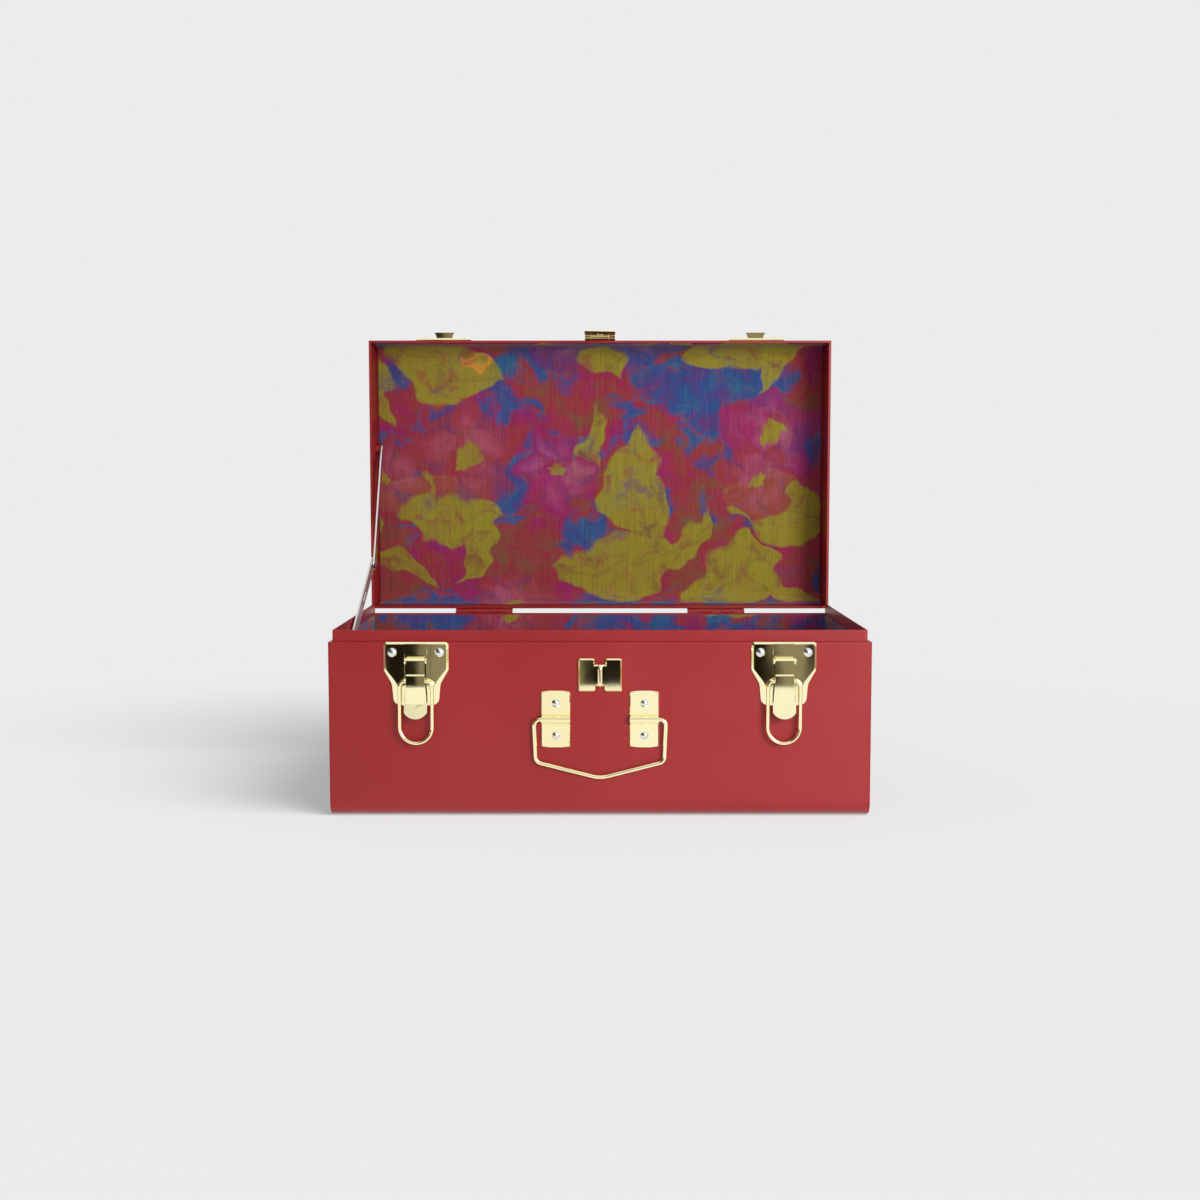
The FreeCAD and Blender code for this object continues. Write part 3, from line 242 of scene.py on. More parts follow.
class SharedEffect:
    """A shader node group that is built once and placed in several materials."""

    title = "effect"
    takes: dict[str, tuple[str, object]] = {}
    gives: dict[str, str] = {}

    def lay(self, tree: Tree, inputs: dict[str, Socket]) -> dict[str, Operand]:
        """Lay the effect's own nodes and give the sockets that it puts out."""
        raise NotImplementedError

    def group(self) -> bpy.types.NodeTree:
        """Give the node group, built at its first use.

        Returns:
            The group's tree.
        """
        made = bpy.data.node_groups.get(self.title)
        if made:
            return made
        made = bpy.data.node_groups.new(self.title, "ShaderNodeTree")
        for name, (kind, default) in self.takes.items():
            wanted = f"NodeSocket{kind}"
            socket = made.interface.new_socket(name, in_out="INPUT", socket_type=wanted)
            if default is not None:
                socket.default_value = default
        for name, kind in self.gives.items():
            wanted = f"NodeSocket{kind}"
            made.interface.new_socket(name, in_out="OUTPUT", socket_type=wanted)
        tree = Tree(made)
        start, end = tree.add("NodeGroupInput"), tree.add("NodeGroupOutput")
        results = self.lay(tree, {name: start.outputs[name] for name in self.takes})
        for name, source in results.items():
            tree.feed(end.inputs[name], source)
        return made

    def place(self, tree: Tree, **values: object) -> dict[str, Socket]:
        """Place the group in a material.

        Args:
            tree: The material's tree.
            values: The group's inputs, by name with spaces as underscores.

        Returns:
            The group's outputs by name.
        """
        node = tree.add("ShaderNodeGroup", node_tree=self.group())
        for name, value in values.items():
            tree.feed(node.inputs[name.replace("_", " ")], value)
        return {name: node.outputs[name] for name in self.gives}


class HandledSurface(SharedEffect):
    """Soft smudges, fine grain and a faint drift of tone, for the paint and the metals."""

    title = "handled_surface"
    takes = {
        "Place": ("Vector", None),
        "Smooth": ("Float", 0.3),
        "Dull": ("Float", 0.4),
        "Grain Scale": ("Float", 900.0),
        "Stretch": ("Vector", (1.0, 1.0, 1.0)),
    }
    gives = {"Roughness": "Float", "Tone": "Float", "Height": "Float"}

    SMUDGE_SCALE = 26.0
    SMUDGE_SHARE = 0.7
    DRIFT_SCALE = 7.0

    def lay(self, tree: Tree, inputs: dict[str, Socket]) -> dict[str, Operand]:
        """Lay the smudges, the grain and the drift."""
        place = inputs["Place"]
        smudge = tree.step(tree.noise(place, self.SMUDGE_SCALE, 4.0, 0.62), 0.38, 0.68)
        drawn_out = tree.vector("MULTIPLY", place, inputs["Stretch"])
        grain = tree.noise(drawn_out, inputs["Grain Scale"], 2.0)
        both = tree.math(
            "ADD",
            tree.math("MULTIPLY", smudge, self.SMUDGE_SHARE),
            tree.math("MULTIPLY", grain, 1.0 - self.SMUDGE_SHARE),
        )
        rough = tree.spread(both, inputs["Smooth"], inputs["Dull"])
        tone = tree.noise(place, self.DRIFT_SCALE, 2.0)
        return {"Roughness": rough, "Tone": tone, "Height": grain}


class Weave(SharedEffect):
    """Plain-woven cloth with slubs that run up the cloth."""

    title = "plain_weave"
    takes = {"Place": ("Vector", None), "Threads": ("Float", 1500.0)}
    gives = {"Thread": "Float", "Height": "Float"}

    SLUB_STRETCH = (1.0, 0.035, 1.0)
    SLUB_SCALE = 620.0

    def lay(self, tree: Tree, inputs: dict[str, Socket]) -> dict[str, Operand]:
        """Lay warp, weft and slubs."""
        across, along, _ = tree.parts(inputs["Place"])
        turns = tree.math("MULTIPLY", inputs["Threads"], math.pi)
        warp = tree.math("SINE", tree.math("MULTIPLY", across, turns))
        weft = tree.math("SINE", tree.math("MULTIPLY", along, turns))
        height = tree.math("MULTIPLY_ADD", tree.math("MULTIPLY", warp, weft), 0.5, 0.5)
        drawn_out = tree.vector("MULTIPLY", inputs["Place"], self.SLUB_STRETCH)
        slub = tree.noise(drawn_out, self.SLUB_SCALE, 3.0, 0.7)
        return {"Thread": tree.step(slub, 0.25, 0.75), "Height": height}


class BlossomPrint(SharedEffect):
    """A loose print of round blossoms and lance leaves over clouded ground."""

    title = "blossom_print"
    takes = {"Place": ("Vector", None)}
    gives = {"Color": "Color"}

    MAGENTA = (0.320, 0.012, 0.125)
    CRIMSON = (0.330, 0.030, 0.045)
    VIOLET = (0.125, 0.036, 0.185)
    BLUE = (0.028, 0.075, 0.280)
    TEAL = (0.030, 0.145, 0.260)
    MUSTARD = (0.315, 0.270, 0.018)
    OLIVE = (0.180, 0.125, 0.034)
    BROWN = (0.225, 0.070, 0.042)
    ORANGE = (0.700, 0.290, 0.035)
    ROSE = (0.560, 0.170, 0.330)

    SWAY_SCALE = 34.0
    SWAY_REACH = 0.036
    WASH_SCALE = 32.0
    FLECK_SCALE = 62.0
    FLECK_SHARE = 0.55
    GROUND_SCALE = 15.0
    CLOUD_SCALE = 13.0
    LOOSENESS = 0.62
    LEAF_LENGTH = 0.47
    LEAF_BEND = 0.55
    BLOSSOM_REACH = 0.35
    BUD_REACH = 0.17
    SCALLOP = 0.13

    def scatter(
        self, tree: Tree, place: Socket, cell: float, seed: float
    ) -> tuple[Socket, Socket, Socket]:
        """Set one motif in each cell of a loose scatter.

        Args:
            tree: The group's tree.
            place: Where the cloth is read, in metres.
            cell: The motifs' mean distance in metres.
            seed: Where the scatter starts.

        Returns:
            The place seen from its motif, turned at random, and two random values of that motif.
        """
        spot = tree.vector("ADD", tree.scaled(place, 1.0 / cell), (seed, seed * 1.7, 0.0))
        cells = tree.add("ShaderNodeTexVoronoi", voronoi_dimensions="2D")
        tree.feed(cells.inputs["Vector"], spot)
        cells.inputs["Scale"].default_value = 1.0
        cells.inputs["Randomness"].default_value = self.LOOSENESS
        local = tree.vector("SUBTRACT", spot, cells.outputs["Position"])
        chance, other, _ = tree.parts(cells.outputs["Color"])
        turn = tree.add("ShaderNodeVectorRotate", rotation_type="Z_AXIS")
        tree.feed(turn.inputs["Vector"], local)
        tree.feed(turn.inputs["Angle"], tree.math("MULTIPLY", other, math.tau))
        return turn.outputs["Vector"], chance, other

    def leaf(self, tree: Tree, local: Socket, width: float) -> tuple[Socket, Socket]:
        """Draw a lance leaf.

        Args:
            tree: The group's tree.
            local: The place seen from the leaf's middle.
            width: Half its width, in cells.

        Returns:
            The leaf's mask and its middle vein's mask.
        """
        x, y, _ = tree.parts(local)
        bend = tree.math("MULTIPLY", tree.math("MULTIPLY", x, x), self.LEAF_BEND)
        off = tree.math("ABSOLUTE", tree.math("SUBTRACT", y, bend))
        run = tree.math("DIVIDE", x, self.LEAF_LENGTH)
        taper = tree.math("SUBTRACT", 1.0, tree.math("MULTIPLY", run, run))
        belly = tree.math("MULTIPLY", taper, width)
        edge = tree.math("SUBTRACT", belly, off)
        vein = tree.math("SUBTRACT", 1.0, tree.step(off, 0.004, 0.022))
        return tree.step(edge, 0.0, 0.035), vein

    def blossom(
        self, tree: Tree, local: Socket, reach: float, petals: float
    ) -> tuple[Socket, Socket, Socket]:
        """Draw a round blossom.

        Args:
            tree: The group's tree.
            local: The place seen from the blossom's middle.
            reach: Its radius, in cells.
            petals: How many petals it has.

        Returns:
            The blossom's mask, its radius from 0 to 1 and a mask of the folds between petals.
        """
        x, y, _ = tree.parts(local)
        radius = tree.vector("LENGTH", local)
        wave = tree.math("COSINE", tree.math("MULTIPLY", tree.math("ARCTAN2", y, x), petals))
        rim = tree.math("MULTIPLY_ADD", wave, self.SCALLOP * reach, (1.0 - self.SCALLOP) * reach)
        share = tree.math("DIVIDE", radius, rim)
        inside = tree.math("SUBTRACT", 1.0, tree.step(share, 0.88, 1.04))
        fold = tree.math("MULTIPLY", tree.step(wave, -0.35, -1.0), tree.step(share, 0.2, 0.75))
        return inside, share, fold

    def swayed(self, tree: Tree, still: Socket) -> Socket:
        """Sway the place on the cloth, so that no edge of the print runs straight.

        Args:
            tree: The group's tree.
            still: The place on the cloth, in metres.

        Returns:
            The swayed place.
        """
        drift = tree.add("ShaderNodeTexNoise")
        drift.inputs["Scale"].default_value = self.SWAY_SCALE
        drift.inputs["Detail"].default_value = 1.5
        tree.feed(drift.inputs["Vector"], still)
        centred = tree.vector("SUBTRACT", drift.outputs["Color"], (0.5, 0.5, 0.5))
        moved = tree.vector("ADD", still, tree.scaled(centred, self.SWAY_REACH))
        return tree.vector("MULTIPLY", moved, (1.0, 1.0, 0.0))

    def ground(self, tree: Tree, place: Socket, wash: Socket, cloud: Socket) -> Socket:
        """Colour the warm ground and the blue clouds on it.

        Args:
            tree: The group's tree.
            place: The swayed place.
            wash: The wash of the dye, from 0 to 1.
            cloud: Where the clouds lie, from 0 to 1.

        Returns:
            The colour.
        """
        warm = tree.ramp(
            tree.noise(place, self.GROUND_SCALE, 5.0, 0.70),
            [
                (0.30, self.VIOLET),
                (0.41, self.MAGENTA),
                (0.50, self.CRIMSON),
                (0.59, self.BROWN),
                (0.70, self.OLIVE),
            ],
        )
        cold = tree.ramp(wash, [(0.36, self.VIOLET), (0.50, self.BLUE), (0.66, self.TEAL)])
        return tree.mix(tree.step(cloud, 0.49, 0.57), warm, cold)

    def leaves(self, tree: Tree, place: Socket, wash: Socket, colour: Socket) -> Socket:
        """Print two sizes of leaf.

        Args:
            tree: The group's tree.
            place: The swayed place.
            wash: The wash of the dye, from 0 to 1.
            colour: The colour underneath.

        Returns:
            The colour with the leaves.
        """
        for cell, seed, belly, bare_share, dark in (
            (0.090, 12.6, 0.15, 0.52, self.BROWN),
            (0.128, 4.3, 0.26, 0.30, self.OLIVE),
        ):
            local, chance, _ = self.scatter(tree, place, cell, seed)
            body, vein = self.leaf(tree, local, belly)
            kept = tree.math("MULTIPLY", body, tree.math("GREATER_THAN", chance, bare_share))
            blade = tree.mix(tree.step(wash, 0.28, 0.46), dark, self.MUSTARD)
            blade = tree.mix(tree.math("MULTIPLY", vein, 0.3), blade, self.OLIVE)
            colour = tree.mix(tree.math("MULTIPLY", kept, 0.94), colour, blade)
        return colour

    def blossoms(self, tree: Tree, place: Socket, wash: Socket, colour: Socket) -> Socket:
        """Print two sizes of blossom.

        Args:
            tree: The group's tree.
            place: The swayed place.
            wash: The wash of the dye, from 0 to 1.
            colour: The colour underneath.

        Returns:
            The colour with the blossoms.
        """
        for cell, seed, petals, dyes in (
            (0.150, 9.2, 5.0, (self.MAGENTA, self.CRIMSON, self.BLUE)),
            (0.118, 17.8, 7.0, (self.CRIMSON, self.VIOLET, self.MAGENTA)),
        ):
            local, chance, other = self.scatter(tree, place, cell, seed)
            inside, share, fold = self.blossom(tree, local, self.BLOSSOM_REACH, petals)
            stops = list(zip((0.0, 0.42, 0.74), dyes))
            dye = tree.ramp(chance, stops, "CONSTANT")
            bright = tree.mix(0.42, dye, self.ROSE)
            petal = tree.mix(tree.step(share, 0.95, 0.30), dye, bright)
            petal = tree.mix(tree.math("MULTIPLY", fold, 0.6), petal, self.VIOLET)
            petal = tree.mix(tree.step(wash, 0.40, 0.62), petal, dye)
            petal = tree.mix(tree.step(share, 0.24, 0.17), petal, self.MUSTARD)
            kept = tree.math("MULTIPLY", inside, tree.math("GREATER_THAN", other, 0.42))
            colour = tree.mix(tree.math("MULTIPLY", kept, 0.84), colour, petal)
        return colour

    def buds(self, tree: Tree, place: Socket, colour: Socket) -> Socket:
        """Print a few small buds.

        Args:
            tree: The group's tree.
            place: The swayed place.
            colour: The colour underneath.

        Returns:
            The colour with the buds.
        """
        local, chance, _ = self.scatter(tree, place, 0.060, 27.4)
        inside, share, _ = self.blossom(tree, local, self.BUD_REACH, 3.0)
        kept = tree.math("MULTIPLY", inside, tree.math("GREATER_THAN", chance, 0.90))
        bud = tree.mix(tree.step(share, 0.9, 0.2), self.ORANGE, self.MUSTARD)
        return tree.mix(tree.math("MULTIPLY", kept, 0.85), colour, bud)

    def lay(self, tree: Tree, inputs: dict[str, Socket]) -> dict[str, Operand]:
        """Lay the ground, clouds, leaves, blossoms, buds and flecks, each over the last."""
        place = self.swayed(tree, inputs["Place"])
        wash = tree.noise(place, self.WASH_SCALE, 5.0, 0.68)
        clouded = tree.vector("ADD", place, (3.1, 1.4, 0.0))
        cloud = tree.noise(clouded, self.CLOUD_SCALE, 5.0, 0.70)
        colour = self.ground(tree, place, wash, cloud)
        colour = self.leaves(tree, place, wash, colour)
        colour = self.blossoms(tree, place, wash, colour)
        colour = self.buds(tree, place, colour)
        flecked = tree.vector("ADD", place, (1.9, 6.2, 0.0))
        fleck = tree.step(tree.noise(flecked, self.FLECK_SCALE, 4.0, 0.65), 0.46, 0.66)
        blot = tree.ramp(cloud, [(0.42, self.BROWN), (0.50, self.CRIMSON), (0.58, self.VIOLET)])
        return {"Color": tree.mix(tree.math("MULTIPLY", fleck, self.FLECK_SHARE), colour, blot)}


HANDLED = HandledSurface()
WEAVE = Weave()
PRINT = BlossomPrint()


def new_material(title: str) -> tuple[bpy.types.Material, Tree, bpy.types.Node]:
    """Start a node material with one Principled shader.

    Args:
        title: The material's name.

    Returns:
        The material, its tree and the shader.
    """
    material = bpy.data.materials.new(title)
    material.use_nodes = True
    material.node_tree.nodes.clear()
    tree = Tree(material.node_tree)
    shader = tree.add("ShaderNodeBsdfPrincipled")
    tree.show(shader.outputs[0])
    return material, tree, shader


def bump(tree: Tree, height: Socket, strength: float, distance: float) -> Socket:
    """Turn a height into a normal.

    Args:
        tree: The material's tree.
        height: The height's socket.
        strength: How much of it shows.
        distance: What a height of 1 stands for, in metres.

    Returns:
        The normal's socket.
    """
    node = tree.add("ShaderNodeBump")
    node.inputs["Strength"].default_value = strength
    node.inputs["Distance"].default_value = distance
    tree.feed(node.inputs["Height"], height)
    return node.outputs["Normal"]


@dataclass(frozen=True)
class PaintFinish:
    """Satin enamel on steel, with faint orange peel and a slow drift of tone."""

    title: str = "satin_red_enamel"
    deep: Colour = (0.284, 0.005, 0.006)
    pale: Colour = (0.310, 0.009, 0.010)
    smooth: float = 0.38
    dull: float = 0.45
    peel: float = 1400.0
    peel_shown: float = 0.12
    peel_depth: float = 0.00006

    def material(self) -> bpy.types.Material:
        """Build the enamel."""
        material, tree, shader = new_material(self.title)
        place = tree.add("ShaderNodeTexCoord").outputs["Object"]
        skin = HANDLED.place(
            tree, Place=place, Smooth=self.smooth, Dull=self.dull, Grain_Scale=self.peel
        )
        tone = tree.step(skin["Tone"], *TONE_SPAN)
        tree.feed(shader.inputs["Base Color"], tree.mix(tone, self.deep, self.pale))
        tree.feed(shader.inputs["Roughness"], skin["Roughness"])
        normal = bump(tree, skin["Height"], self.peel_shown, self.peel_depth)
        tree.feed(shader.inputs["Normal"], normal)
        shader.inputs["Specular IOR Level"].default_value = 0.5
        return material


@dataclass(frozen=True)
class MetalFinish:
    """Polished metal with fine polishing lines and the dulling of handling."""

    title: str
    deep: Colour
    pale: Colour
    smooth: float
    dull: float
    lines: float = 1600.0
    lines_shown: float = 0.05
    lines_depth: float = 0.00003
    stretch: tuple[float, float, float] = (0.06, 1.0, 1.0)

    def material(self) -> bpy.types.Material:
        """Build the metal."""
        material, tree, shader = new_material(self.title)
        place = tree.add("ShaderNodeTexCoord").outputs["Object"]
        skin = HANDLED.place(
            tree,
            Place=place,
            Smooth=self.smooth,
            Dull=self.dull,
            Grain_Scale=self.lines,
            Stretch=self.stretch,
        )
        tone = tree.step(skin["Tone"], *TONE_SPAN)
        tree.feed(shader.inputs["Base Color"], tree.mix(tone, self.deep, self.pale))
        tree.feed(shader.inputs["Roughness"], skin["Roughness"])
        normal = bump(tree, skin["Height"], self.lines_shown, self.lines_depth)
        tree.feed(shader.inputs["Normal"], normal)
        shader.inputs["Metallic"].default_value = 1.0
        return material


BRASS = MetalFinish(
    "polished_brass",
    deep=(0.97, 0.87, 0.50),
    pale=(1.0, 0.93, 0.58),
    smooth=0.015,
    dull=0.05,
)
BRIGHT_STEEL = MetalFinish(
    "bright_steel",
    deep=(0.72, 0.72, 0.71),
    pale=(0.80, 0.80, 0.79),
    smooth=0.04,
    dull=0.14,
)
ZINC = MetalFinish(
    "zinc_plated_steel",
    deep=(0.78, 0.74, 0.70),
    pale=(0.86, 0.82, 0.78),
    smooth=0.38,
    dull=0.50,
)


@dataclass(frozen=True)
class ClothFinish:
    """Printed plain-woven cloth, laid over a board in one of the board's ways."""

    board: Board
    web: float = 0.0
    middle: float = 0.0
    floor: float = 0.0
    slub_share: float = 0.62
    slub_tone: Colour = (0.30, 0.27, 0.24)
    weave_shown: float = 0.35
    weave_depth: float = 0.00012

    def unrolled(self, tree: Tree) -> Socket:
        """Unroll a bent board into the flat cloth.

        Args:
            tree: The material's tree.

        Returns:
            The place on the cloth, in metres.
        """
        x, y, z = tree.parts(tree.add("ShaderNodeTexCoord").outputs["Object"])
        if self.board is Board.LID:
            way = tree.math("SIGN", tree.math("SUBTRACT", z, self.middle))
            turned = tree.math("MULTIPLY", way, tree.math("SUBTRACT", self.web, y))
            return tree.combine(x, tree.math("ADD", z, turned))
        if self.board is Board.BASE_WRAP:
            way = tree.math("SIGN", y)
            rise = tree.math("MULTIPLY", way, tree.math("SUBTRACT", z, self.floor))
            return tree.combine(x, tree.math("ADD", rise, tree.math("SUBTRACT", y, self.web)))
        return tree.combine(y, z)

    def material(self) -> bpy.types.Material:
        """Build the cloth."""
        material, tree, shader = new_material(f"printed_cloth_{self.board.value}")
        place = self.unrolled(tree)
        threads = WEAVE.place(tree, Place=place)
        dyed = PRINT.place(tree, Place=place)["Color"]
        slubs = tree.math("MULTIPLY", threads["Thread"], self.slub_share)
        worn = tree.mix(slubs, dyed, self.slub_tone, "OVERLAY")
        tree.feed(shader.inputs["Base Color"], worn)
        tree.feed(shader.inputs["Roughness"], tree.spread(threads["Thread"], 0.82, 0.96))
        normal = bump(tree, threads["Height"], self.weave_shown, self.weave_depth)
        tree.feed(shader.inputs["Normal"], normal)
        shader.inputs["Specular IOR Level"].default_value = 0.22
        shader.inputs["Sheen Weight"].default_value = 0.12
        shader.inputs["Sheen Roughness"].default_value = 0.6
        return material


def shading_group() -> bpy.types.NodeTree:
    """Give the geometry group that shades smooth across shallow edges and sharp across steep ones.

    Returns:
        The group's tree.
    """
    title = "shade_by_angle"
    made = bpy.data.node_groups.get(title)
    if made:
        return made
    made = bpy.data.node_groups.new(title, "GeometryNodeTree")
    made.interface.new_socket("Mesh", in_out="INPUT", socket_type="NodeSocketGeometry")
    made.interface.new_socket("Mesh", in_out="OUTPUT", socket_type="NodeSocketGeometry")
    tree = Tree(made)
    start, end = tree.add("NodeGroupInput"), tree.add("NodeGroupOutput")
    angle = tree.add("GeometryNodeInputMeshEdgeAngle")
    normal = tree.add("GeometryNodeSetMeshNormal", mode="SHARPNESS")
    normal.inputs["Remove Custom"].default_value = True
    tree.feed(normal.inputs["Mesh"], start.outputs["Mesh"])
    steep = tree.math("GREATER_THAN", angle.outputs[0], math.radians(SHARP_ANGLE))
    tree.feed(normal.inputs["Edge Sharpness"], steep)
    tree.feed(end.inputs["Mesh"], normal.outputs["Mesh"])
    return made


def dress(title: str, material: bpy.types.Material, edge: float = 0.0) -> None:
    """Give a solid its finish and ease its sharp edges.

    Args:
        title: The solid's name.
        material: Its finish.
        edge: How far its sharp edges are broken, in metres.
    """
    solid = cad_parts[title]
    for slot in solid.material_slots:
        slot.link = "OBJECT"
        slot.material = material
    weld = solid.modifiers.new("weld", "WELD")
    weld.merge_threshold = WELD_DISTANCE
    if edge:
        bevel = solid.modifiers.new("broken_edges", "BEVEL")
        bevel.width = edge
        bevel.segments = BROKEN_SEGMENTS
        bevel.limit_method = "ANGLE"
        bevel.angle_limit = math.radians(BROKEN_ANGLE)
        bevel.use_clamp_overlap = True
    shade = solid.modifiers.new("shading", "NODES")
    shade.node_group = shading_group()
    level = solid.modifiers.new("flat_faces", "WEIGHTED_NORMAL")
    level.keep_sharp = True
    level.weight = FLAT_WEIGHT
    LOG.info("%s: %s", title, material.name)


@dataclass
class Shell:
    """The painted base and lid."""

    edge: float = 0.00022

    def dress(self, paint: bpy.types.Material) -> None:
        """Paint the sheet metal."""
        for title in (
            "body_wrap",
            "end_panel_left",
            "end_panel_right",
            "rim_collar",
            "lid_wrap",
            "lid_end_left",
            "lid_end_right",
        ):
            dress(title, paint, self.edge)


@dataclass
class Hinges:
    """The two painted butt hinges."""

    edge: float = 0.00018

    def dress(self, paint: bpy.types.Material) -> None:
        """Paint leaves, pins and rivets."""
        for part in ("base", "lid"):
            for side in ("left", "right"):
                dress(f"hinge_{part}_leaf_{side}", paint, self.edge)
            dress(f"hinge_{part}_rivets", paint)
        dress("hinge_pins", paint)


@dataclass
class Lining:
    """The cloth-covered boards."""

    edge: float = 0.0005

    def dress(self) -> None:
        """Cover each board."""
        low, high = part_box("lid_lining")
        lid = ClothFinish(Board.LID, web=high.y, middle=(low.z + high.z) / 2)
        dress("lid_lining", lid.material(), self.edge)
        low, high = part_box("base_lining_wrap")
        wrap = ClothFinish(Board.BASE_WRAP, web=high.y, floor=low.z)
        dress("base_lining_wrap", wrap.material(), self.edge)
        end = ClothFinish(Board.BASE_END).material()
        for side in ("left", "right"):
            dress(f"base_lining_{side}", end, self.edge)


@dataclass
class Latches:
    """The two toggle latches, their wire loops and the lid's catches."""

    edge: float = 0.00055

    def dress(self, brass: bpy.types.Material, bright: bpy.types.Material) -> None:
        """Finish the pressed plates in brass and the rivets in bright steel."""
        for side in ("left", "right"):
            for part in ("latch_plate", "latch_lever", "catch_plate"):
                dress(f"{part}_{side}", brass, self.edge)
            dress(f"latch_bail_{side}", brass)
        dress("latch_pins", brass)
        for title in ("latch_rivets", "catch_rivets"):
            dress(title, bright)


@dataclass
class Handle:
    """The carrying handle and its brackets."""

    edge: float = 0.00025

    def dress(self, brass: bpy.types.Material, bright: bpy.types.Material) -> None:
        """Finish brackets and wire in brass and the rivets in bright steel."""
        for side in ("left", "right"):
            dress(f"handle_bracket_{side}", brass, self.edge)
        dress("carry_handle", brass)
        dress("handle_rivets", bright)


@dataclass
class Lock:
    """The padlock staple and the hinged hasp."""

    edge: float = 0.00025

    def dress(self, brass: bpy.types.Material, bright: bpy.types.Material) -> None:
        """Finish staple and hasp in brass and the rivets in bright steel."""
        for title in ("padlock_staple", "hasp_leaf", "hasp_strap"):
            dress(title, brass, self.edge)
        dress("hasp_pin", brass)
        dress("hasp_rivets", bright)


@dataclass
class Stay:
    """The folding lid stay."""

    edge: float = 0.0002

    def dress(
        self, zinc: bpy.types.Material, bright: bpy.types.Material, paint: bpy.types.Material
    ) -> None:
        """Plate the lower arm in zinc, leave the upper bright and paint the lid's bracket."""
        for title in ("stay_base_bracket", "stay_lower_arm"):
            dress(title, zinc, self.edge)
        dress("stay_upper_arm", bright, self.edge)
        for title in ("stay_base_pivot", "stay_lid_pivot", "stay_joint_rivet"):
            dress(title, bright)
        dress("stay_lid_bracket", paint, self.edge)


